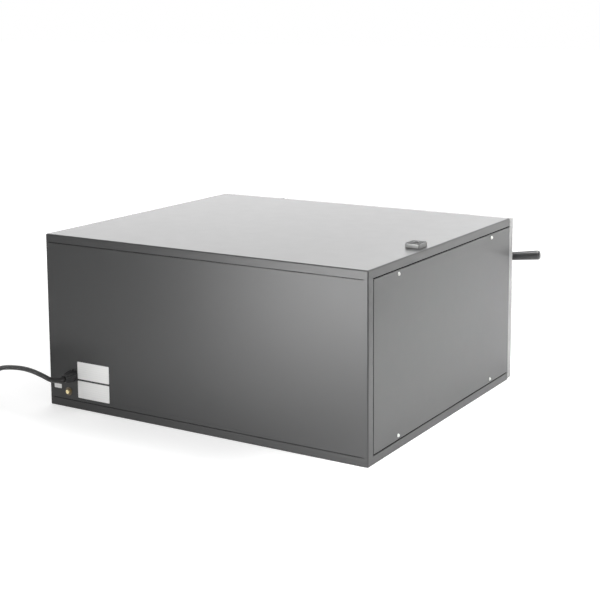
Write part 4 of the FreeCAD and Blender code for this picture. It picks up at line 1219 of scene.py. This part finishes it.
@dataclass
class Door:
    """Window bezel, bulb gasket and hinge screws of the door."""
    face_y: float = -256.0 * MM
    window_low: Pair = (-201.0 * MM, 70.5 * MM)
    window_high: Pair = (43.0 * MM, 210.5 * MM)
    bezel_corner: float = 2.0 * MM
    flange: float = 16.0 * MM
    proud: float = 2.5 * MM
    inner_ease: float = 1.2 * MM
    inner_places: int = 5
    outer_ease: float = 2.2 * MM
    outer_places: int = 6
    tube: float = 6.0 * MM
    tube_depth: float = 10.8 * MM
    ledge: float = 4.0 * MM
    ledge_depth: float = 6.8 * MM
    liner_y: float = -244.0 * MM
    gasket_middle: Pair = (-82.0 * MM, 140.5 * MM)
    gasket_size: Pair = (351.0 * MM, 236.0 * MM)
    gasket_corner: float = 6.0 * MM
    gasket_foot_mm: tuple[Pair, ...] = ((4.4, 0.0), (4.4, 0.7), (3.0, 0.9))
    bulb_middle: Pair = (0.0, 1.75 * MM)
    bulb_radii: Pair = (2.6 * MM, 1.85 * MM)
    bulb_turn: Pair = (-0.35, math.pi + 0.35)
    bulb_places: int = 12
    pin_x: float = 161.5 * MM
    hinge_zs: tuple[float, ...] = (55.0 * MM, 225.0 * MM)
    leaf_y: float = -257.95 * MM
    screw_reach: float = 14.0 * MM
    screw_step: float = 15.0 * MM

    def build(self) -> None:
        """Make the bezel, the gasket and the screws."""
        self.bezel().piece("window_surround", Body.DOOR, Slot.BEZEL, ("window_bezel",))
        self.gasket().piece("bulb_gasket", Body.DOOR, Slot.SEAL, ("door_gasket",))
        self.hinge_screws(-self.screw_reach).piece("hinge_screws_door", Body.DOOR, Slot.SCREWS)
        self.hinge_screws(self.screw_reach).piece("hinge_screws_cabinet", Body.CABINET, Slot.SCREWS)

    def bezel(self) -> Shape:
        """Window's surround: its section, an eased rim, a tube wall and the glass ledge, goes round it.

        Returns:
            The shape.
        """
        (x0, z0), (x1, z1) = self.window_low, self.window_high
        seat = Seat(((x0 + x1) / 2, self.face_y, (z0 + z1) / 2), FRONT)
        size = (x1 - x0 - 2 * self.ledge, z1 - z0 - 2 * self.ledge)
        ease = self.inner_ease
        inner = arc((ease, self.proud - ease), (ease, ease), (np.pi, QUARTER), self.inner_places)
        outer = arc((self.flange - self.outer_ease, 0), (self.outer_ease, self.proud), (QUARTER, 0),
                    self.outer_places)
        wall = [(self.tube, 0), (self.tube, -self.tube_depth), (self.ledge, -self.tube_depth),
                (self.ledge, -self.ledge_depth), (0, -self.ledge_depth)]
        return framed(seat, size, self.bezel_corner, np.vstack([inner, outer, wall]))

    def gasket(self) -> Shape:
        """Bulb seal: a foot on the liner with a round bulb on it, carried round the mouth.

        Returns:
            The shape.
        """
        foot = np.array(self.gasket_foot_mm) * MM
        bulb = arc(self.bulb_middle, self.bulb_radii, self.bulb_turn, self.bulb_places)
        x, z = self.gasket_middle
        return framed(Seat((x, self.liner_y, z), REAR), self.gasket_size, self.gasket_corner,
                      np.vstack([foot, bulb, foot[::-1] * (-1, 1)]))

    def hinge_screws(self, reach: float) -> Shape:
        """Screws of both hinges' leaves, at a reach to one side of the pins."""
        return HINGE_SCREW.heads([(self.pin_x + reach, self.leaf_y, z + step) for z in self.hinge_zs
                                  for step in (-self.screw_step, self.screw_step)], FRONT)


@dataclass
class LeverLatch:
    """Grip of the lever, turned to a smooth outline."""
    spindle: Point = (-236.0 * MM, -278.0 * MM, 202.0 * MM)
    lean: float = 15.0
    rise: float = 5.0
    bore: float = 4.7 * MM
    foot: float = 26.0 * MM
    shoulder: Pair = (0.5 * MM, 2.0 * MM)
    shoulder_places: int = 5
    neck: float = 7.0 * MM
    belly: float = 8.15 * MM
    swell_power: float = 1.22
    swell_places: int = 8
    dome_foot: float = 85.5 * MM
    dome_height: float = 6.3 * MM
    dome_power: float = 0.7
    dome_turn: float = 88.0
    dome_places: int = 10

    def build(self) -> None:
        """Turn the grip about the arm."""
        lean, rise = math.radians(self.lean), math.radians(self.rise)
        way = (-math.cos(lean) * math.cos(rise), -math.sin(lean) * math.cos(rise), math.sin(rise))
        grip = lathe(self.outline(), Seat(self.spindle, way, UP))
        grip.piece("turned_grip", Body.LEVER, Slot.GRIP, ("lever_grip",))

    def outline(self) -> Array:
        """Half outline of the grip.

        A quarter ellipse rounds its shoulder. From there the radius swells from neck to belly by a power of
        the share of the way to the dome. The dome's radius and height follow the cosine and the sine of
        nearly a quarter turn, each to one power below 1, which makes its end blunt.

        Returns:
            Radii and heights along the arm, shaped (n, 2).
        """
        inset, drop = self.shoulder
        start = self.foot + drop
        shoulder = arc((self.neck - inset, start), self.shoulder, (-QUARTER, 0), self.shoulder_places)
        share = np.linspace(0, 1, self.swell_places)[1:-1]
        flank = np.column_stack([self.neck + (self.belly - self.neck) * share ** self.swell_power,
                                 start + (self.dome_foot - start) * share])
        turn = np.linspace(0, math.radians(self.dome_turn), self.dome_places)
        dome = (0, self.dome_foot) + unit(turn) ** self.dome_power * (self.belly, self.dome_height)
        return np.vstack([(self.bore, self.foot), shoulder, flank, dome])


class LitBar(Enum):
    """Lit bars of a five: places from the digit's middle, in half widths and half heights."""
    TOP = (0.0, 1.0)
    LOWER_RIGHT = (1.0, -0.5)
    BOTTOM = (0.0, -1.0)
    UPPER_LEFT = (-1.0, 0.5)
    MIDDLE = (0.0, 0.0)


@dataclass
class Controls:
    """Digits on the display, marks on the buttons and the rocker, and the fascia's screws."""
    face_y: float = -256.0 * MM
    lens_y: float = -256.6 * MM
    cap_y: float = -258.5 * MM
    middle_x: float = 227.5 * MM
    display_z: float = 202.0 * MM
    digit_size: Pair = (10.5 * MM, 20.0 * MM)
    digit_pitch: float = 16.5 * MM
    digit_steps: tuple[float, ...] = (-0.75, 0.25)
    digit_lean: float = 0.1
    stroke: float = 2.0 * MM
    stroke_corner: float = 0.9 * MM
    stroke_gap: float = 2.4 * MM
    degree_at: Pair = (18.975 * MM, 8.0 * MM)
    button_z: float = 158.0 * MM
    button_pitch: float = 27.0 * MM
    bar: Pair = (5.0 * MM, 0.9 * MM)
    ring_radii: Pair = (1.5 * MM, 2.4 * MM)
    print_sunk: float = 0.05 * MM
    print_height: float = 0.1 * MM
    print_layer: float = 0.03 * MM
    print_corner: float = 0.4 * MM
    print_ease: float = 0.05 * MM
    switch_z: float = 66.0 * MM
    rocker_pivot_y: float = -255.0 * MM
    rocker_tip: float = -8.0
    rocker_slope: float = math.atan2(2.0, 11.0)
    rocker_face: float = -2.6 * MM
    rocker_mark_up: float = 5.5 * MM
    rocker_print: float = 0.12 * MM
    rocker_bar: Pair = (0.9 * MM, 5.2 * MM)
    rocker_ring_radii: Pair = (1.7 * MM, 2.5 * MM)
    screw_xs: tuple[float, ...] = (171.0 * MM, 284.0 * MM)
    screw_zs: tuple[float, ...] = (12.0 * MM, 269.0 * MM)

    def build(self) -> None:
        """Make the digits, the marks and the screws."""
        self.readout().piece("display_digits", Body.CABINET, Slot.DISPLAY, finish=LIT_FINISH)
        self.strokes(-1, [self.bar]).piece("down_mark", Body.BUTTON_DOWN, Slot.BUTTON, finish=MARK_FINISH)
        cross = self.strokes(1, [self.bar, self.bar[::-1]])
        cross.piece("up_mark", Body.BUTTON_UP, Slot.BUTTON, finish=MARK_FINISH)
        dot = self.printed_ring(Seat((self.middle_x, self.cap_y, self.button_z), FRONT))
        dot.piece("set_mark", Body.BUTTON_SET, Slot.BUTTON, finish=MARK_FINISH)
        self.rocker_marks().piece("rocker_marks", Body.ROCKER, Slot.ROCKER, finish=MARK_FINISH)
        corners = [(x, self.face_y + self.print_sunk, z) for x in self.screw_xs for z in self.screw_zs]
        PANEL_SCREW.heads(corners, FRONT).piece("fascia_screws", Body.CABINET, Slot.SCREWS)

    def printed_ring(self, seat: Seat) -> Shape:
        """Small flat ring printed on a surface."""
        return ring_of(oblong(self.ring_radii, (-self.print_sunk, self.print_height)), seat)

    def readout(self) -> Shape:
        """Lit bars of the two digits, which lean to the right, and a small ring after them for degrees.

        Returns:
            The shape.
        """
        width, height = self.digit_size
        flat_bar = (width - self.stroke_gap, self.stroke)
        upright_bar = (self.stroke, height / 2 - self.stroke_gap)
        thickness = self.print_sunk + self.print_height
        shapes = []
        for step in self.digit_steps:
            middle = self.middle_x + step * self.digit_pitch
            for bar in LitBar:
                across, up = bar.value
                x, z = across * width / 2, up * height / 2
                place = (middle + x + self.digit_lean * z, self.lens_y + self.print_sunk, self.display_z + z)
                size = (*(upright_bar if across else flat_bar), thickness)
                shapes.append(slab(Seat(place, FRONT), size, self.stroke_corner, self.print_ease))
        x, z = self.degree_at
        shapes.append(self.printed_ring(Seat((self.middle_x + x, self.lens_y, self.display_z + z), FRONT)))
        return total(shapes)

    def strokes(self, order: int, bars: Sequence[Pair]) -> Shape:
        """Bars printed on a button's cap, each a layer thicker than the one before.

        Args:
            order: The button's place, from the middle one.
            bars: Width and height of each bar.

        Returns:
            The shape.
        """
        x = self.middle_x + order * self.button_pitch
        seat = Seat((x, self.cap_y + self.print_sunk, self.button_z), FRONT)
        thickness = self.print_sunk + self.print_height
        sizes = [(*bar, thickness + layer * self.print_layer) for layer, bar in enumerate(bars)]
        return total([slab(seat, size, self.print_corner, self.print_ease) for size in sizes])

    def rocker_marks(self) -> Shape:
        """Line on the rocker's upper face and ring on its lower one, each square to its own slope.

        The faces rise from the pivot to each end by the rocker's slope, and the rocker rests tipped.

        Returns:
            The shape.
        """
        upper, lower = (self.rocker_seat(side) for side in (1, -1))
        line = slab(upper, (*self.rocker_bar, self.rocker_print), self.print_corner, self.print_ease)
        return line + ring_of(oblong(self.rocker_ring_radii, (-self.print_sunk, self.rocker_print)), lower)

    def rocker_seat(self, side: int) -> Seat:
        """Middle of one of the rocker's faces, turned about the pivot by the tip.

        Args:
            side: 1 for the upper face, -1 for the lower one.

        Returns:
            The seat.
        """
        tip = math.radians(self.rocker_tip)
        depth, up = self.rocker_face, side * self.rocker_mark_up
        y = depth * math.cos(tip) - up * math.sin(tip)
        z = depth * math.sin(tip) + up * math.cos(tip)
        lean = tip + side * self.rocker_slope
        out = (0.0, -math.cos(lean), -math.sin(lean))
        return Seat((self.middle_x, self.rocker_pivot_y + y, self.switch_z + z), out)


@dataclass
class SpoolRollers:
    """Soft rings on the rollers and the screws of their bracket rails."""
    roller_ys: tuple[float, ...] = (-170.25 * MM, -60.25 * MM, 49.75 * MM, 159.75 * MM)
    axis_z: float = 42.0 * MM
    radius: float = 9.0 * MM
    ring_xs: tuple[float, ...] = (-240.0 * MM, -178.0 * MM, -150.0 * MM, -88.0 * MM, -60.0 * MM, 2.0 * MM,
                                  30.0 * MM)
    ring_width: float = 7.0 * MM
    ring_height: float = 1.2 * MM
    ring_sunk: float = 0.3 * MM
    crown_places: int = 9
    ring_places: int = 40
    rail_xs: tuple[float, ...] = (-258.0 * MM, 68.5 * MM)
    rail_z: float = 26.0 * MM
    screw_ys: tuple[float, ...] = (-115.25 * MM, -5.25 * MM, 104.75 * MM)

    def build(self) -> None:
        """Make each roller's rings, and the rails' screws."""
        bodies = (Body.ROLLER_1, Body.ROLLER_2, Body.ROLLER_3, Body.ROLLER_4)
        for body, y in zip(bodies, self.roller_ys):
            rings = [self.soft_ring(x, y) for x in self.ring_xs]
            total(rings).piece(body.value + "_rings", body, Slot.SEAL)
        places = [(x, y, self.rail_z) for x in self.rail_xs for y in self.screw_ys]
        PANEL_SCREW.heads(places, UP).piece("rail_screws", Body.CABINET, Slot.SCREWS)

    def soft_ring(self, x: float, y: float) -> Shape:
        """Rubber ring with a crowned face: its height over the roller is a half ellipse across its width.

        Args:
            x: The ring's place along the roller.
            y: The roller's place.

        Returns:
            The shape.
        """
        half, inside = self.ring_width / 2, self.radius - self.ring_sunk
        crown = arc((self.radius, 0), (self.ring_height, half), (-QUARTER, QUARTER), self.crown_places)
        return ring_of(np.vstack([(inside, -half), crown, (inside, half)]),
                       Seat((x, y, self.axis_z), RIGHT, REAR), self.ring_places)


# Studio

@dataclass(frozen=True)
class SoftBox:
    """A soft lamp: where it stands, what it faces, its width and height, and how bright its face is.

    A radiance of 1 is a white surround's brightness. The spread is in degrees, as its honeycomb lets it.
    """
    name: str
    place: Point
    aim: Point
    size: Pair
    radiance: float
    spread: float = 180.0

    def build(self) -> None:
        """Make the lamp, which lights the scene but doesn't show in the picture."""
        data = bpy.data.lights.new(self.name, "AREA")
        data.shape = "RECTANGLE"
        width, height = self.size
        data.size, data.size_y = width, height
        data.energy = FULL_WHITE * width * height * self.radiance
        data.spread = math.radians(self.spread)
        lamp = linked(self.name, data)
        lamp.location = self.place
        lamp.rotation_euler = (Vector(self.aim) - Vector(self.place)).to_track_quat("-Z", "Y").to_euler()
        lamp.visible_camera = False


@dataclass(frozen=True)
class Studio:
    """Floor, soft lamps and the camera at the photograph's place."""
    eye: Point = (-1.1291, 1.7942, 0.6458)
    azimuth: float = 211.568
    elevation: float = 8.0
    roll: float = -0.369
    lens: float = 78.66
    shift_up: float = -0.1935
    floor_reach: float = 14.0
    floor_colour: Colour = (0.65, 0.65, 0.65)
    floor_swing: float = 0.015
    floor_scale: float = 3.0
    near_glow: float = 0.50
    far_glow: float = 0.66
    fade: Pair = (0.5, 1.5)
    room_light: float = 0.60
    lamps: tuple[SoftBox, ...] = (
        SoftBox("rear_box", (0.03, 1.15, 0.14), (-0.36, 0.256, 0.18), (0.62, 0.26), 2.8, 60.0),
        SoftBox("left_box", (-1.00, -1.60, 0.36), (-0.292, 0.0, 0.2), (1.00, 0.70), 2.2),
        SoftBox("front_box", (1.9, -3.0, 1.0), (0.0, 0.0, 0.3), (4.0, 2.0), 2.4),
        SoftBox("top_box", (0.0, 0.0, 2.2), (0.0, 0.0, 0.2), (1.6, 1.6), 0.8),
        SoftBox("floor_box", (-0.63, -0.40, 1.5), (-0.63, -0.40, 0.0), (0.70, 1.6), 2.45, 18.0),
        SoftBox("corner_box", (0.30, 0.64, 1.5), (0.30, 0.64, 0.0), (0.90, 0.46), 0.8, 10.0))

    def build(self) -> None:
        """Make the camera, the floor, the world and the lamps."""
        self.make_camera()
        self.make_floor()
        self.make_world()
        for lamp in self.lamps:
            lamp.build()
        bpy.context.scene.view_settings.view_transform = "Standard"

    def make_camera(self) -> None:
        """Camera that looks at the cabinet's rear left corner from a little above it."""
        data = bpy.data.cameras.new("camera")
        data.lens = self.lens
        data.shift_y = self.shift_up
        camera = linked("camera", data)
        turn = (Matrix.Rotation(math.radians(self.azimuth), 4, "Z")
                @ Matrix.Rotation(math.radians(90 - self.elevation), 4, "X")
                @ Matrix.Rotation(math.radians(self.roll), 4, "Z"))
        camera.matrix_world = Matrix.Translation(self.eye) @ turn
        bpy.context.scene.camera = camera

    def make_floor(self) -> None:
        """Wide white floor that keeps the cabinet's shadow and fades to plain white far from it.

        What the camera sees, and what gloss and glass show, gets a glow on top of the lit floor. It rises
        from its near strength to its far one between two distances from the cabinet's middle.
        """
        span = (-self.floor_reach, self.floor_reach)
        mesh = bpy.data.meshes.new("floor")
        mesh.from_pydata([(x, y, 0) for x, y in oblong(span, span)], [], [(0, 1, 2, 3)])
        floor = linked("floor", mesh)
        n = Paint("studio_floor")
        n.shade(Base_Color=n.shades(n.noise(self.floor_scale), self.floor_colour, self.floor_swing),
                Roughness=0.9, Specular_IOR_Level=0.1)
        away = n.add("ShaderNodeVectorMath", {"operation": "LENGTH"}, Vector=n.place)
        start, end = self.fade
        glow = n.add("ShaderNodeMapRange", {"interpolation_type": "SMOOTHSTEP"}, Value=away.outputs["Value"],
                     From_Min=start, From_Max=end, To_Min=self.near_glow, To_Max=self.far_glow)
        lamp = n.add("ShaderNodeEmission", Strength=n.seen_rays(glow.outputs["Result"]))
        both = n.add("ShaderNodeAddShader")
        n.put(both.inputs[0], n.shader.outputs["BSDF"])
        n.put(both.inputs[1], lamp.outputs["Emission"])
        n.put(n.output.inputs["Surface"], both.outputs["Shader"])
        mesh.materials.append(n.material)

    def make_world(self) -> None:
        """White surroundings for what the camera sees and reflects, dimmer for what lights the cabinet."""
        world = bpy.data.worlds.new("surroundings")
        bpy.context.scene.world = world
        world.use_nodes = True
        n = Nodes(world.node_tree)
        back = world.node_tree.nodes["Background"]
        n.put(back.inputs["Color"], (1, 1, 1, 1))
        n.put(back.inputs["Strength"], n.between(n.seen_rays(), self.room_light, 1.0))


def main() -> None:
    """Build the studio, dress the frame and add every sub-assembly's pieces."""
    logging.basicConfig(level=logging.INFO, format="%(name)s: %(message)s")
    Studio().build()
    dress_frame()
    for assembly in (MainsCord(), RearFittings(), PanelSeams(), FilamentOutlet(), Door(), LeverLatch(),
                     Controls(), SpoolRollers()):
        assembly.build()
        LOG.info("%s built", type(assembly).__name__)


if __name__ == "__main__":
    main()
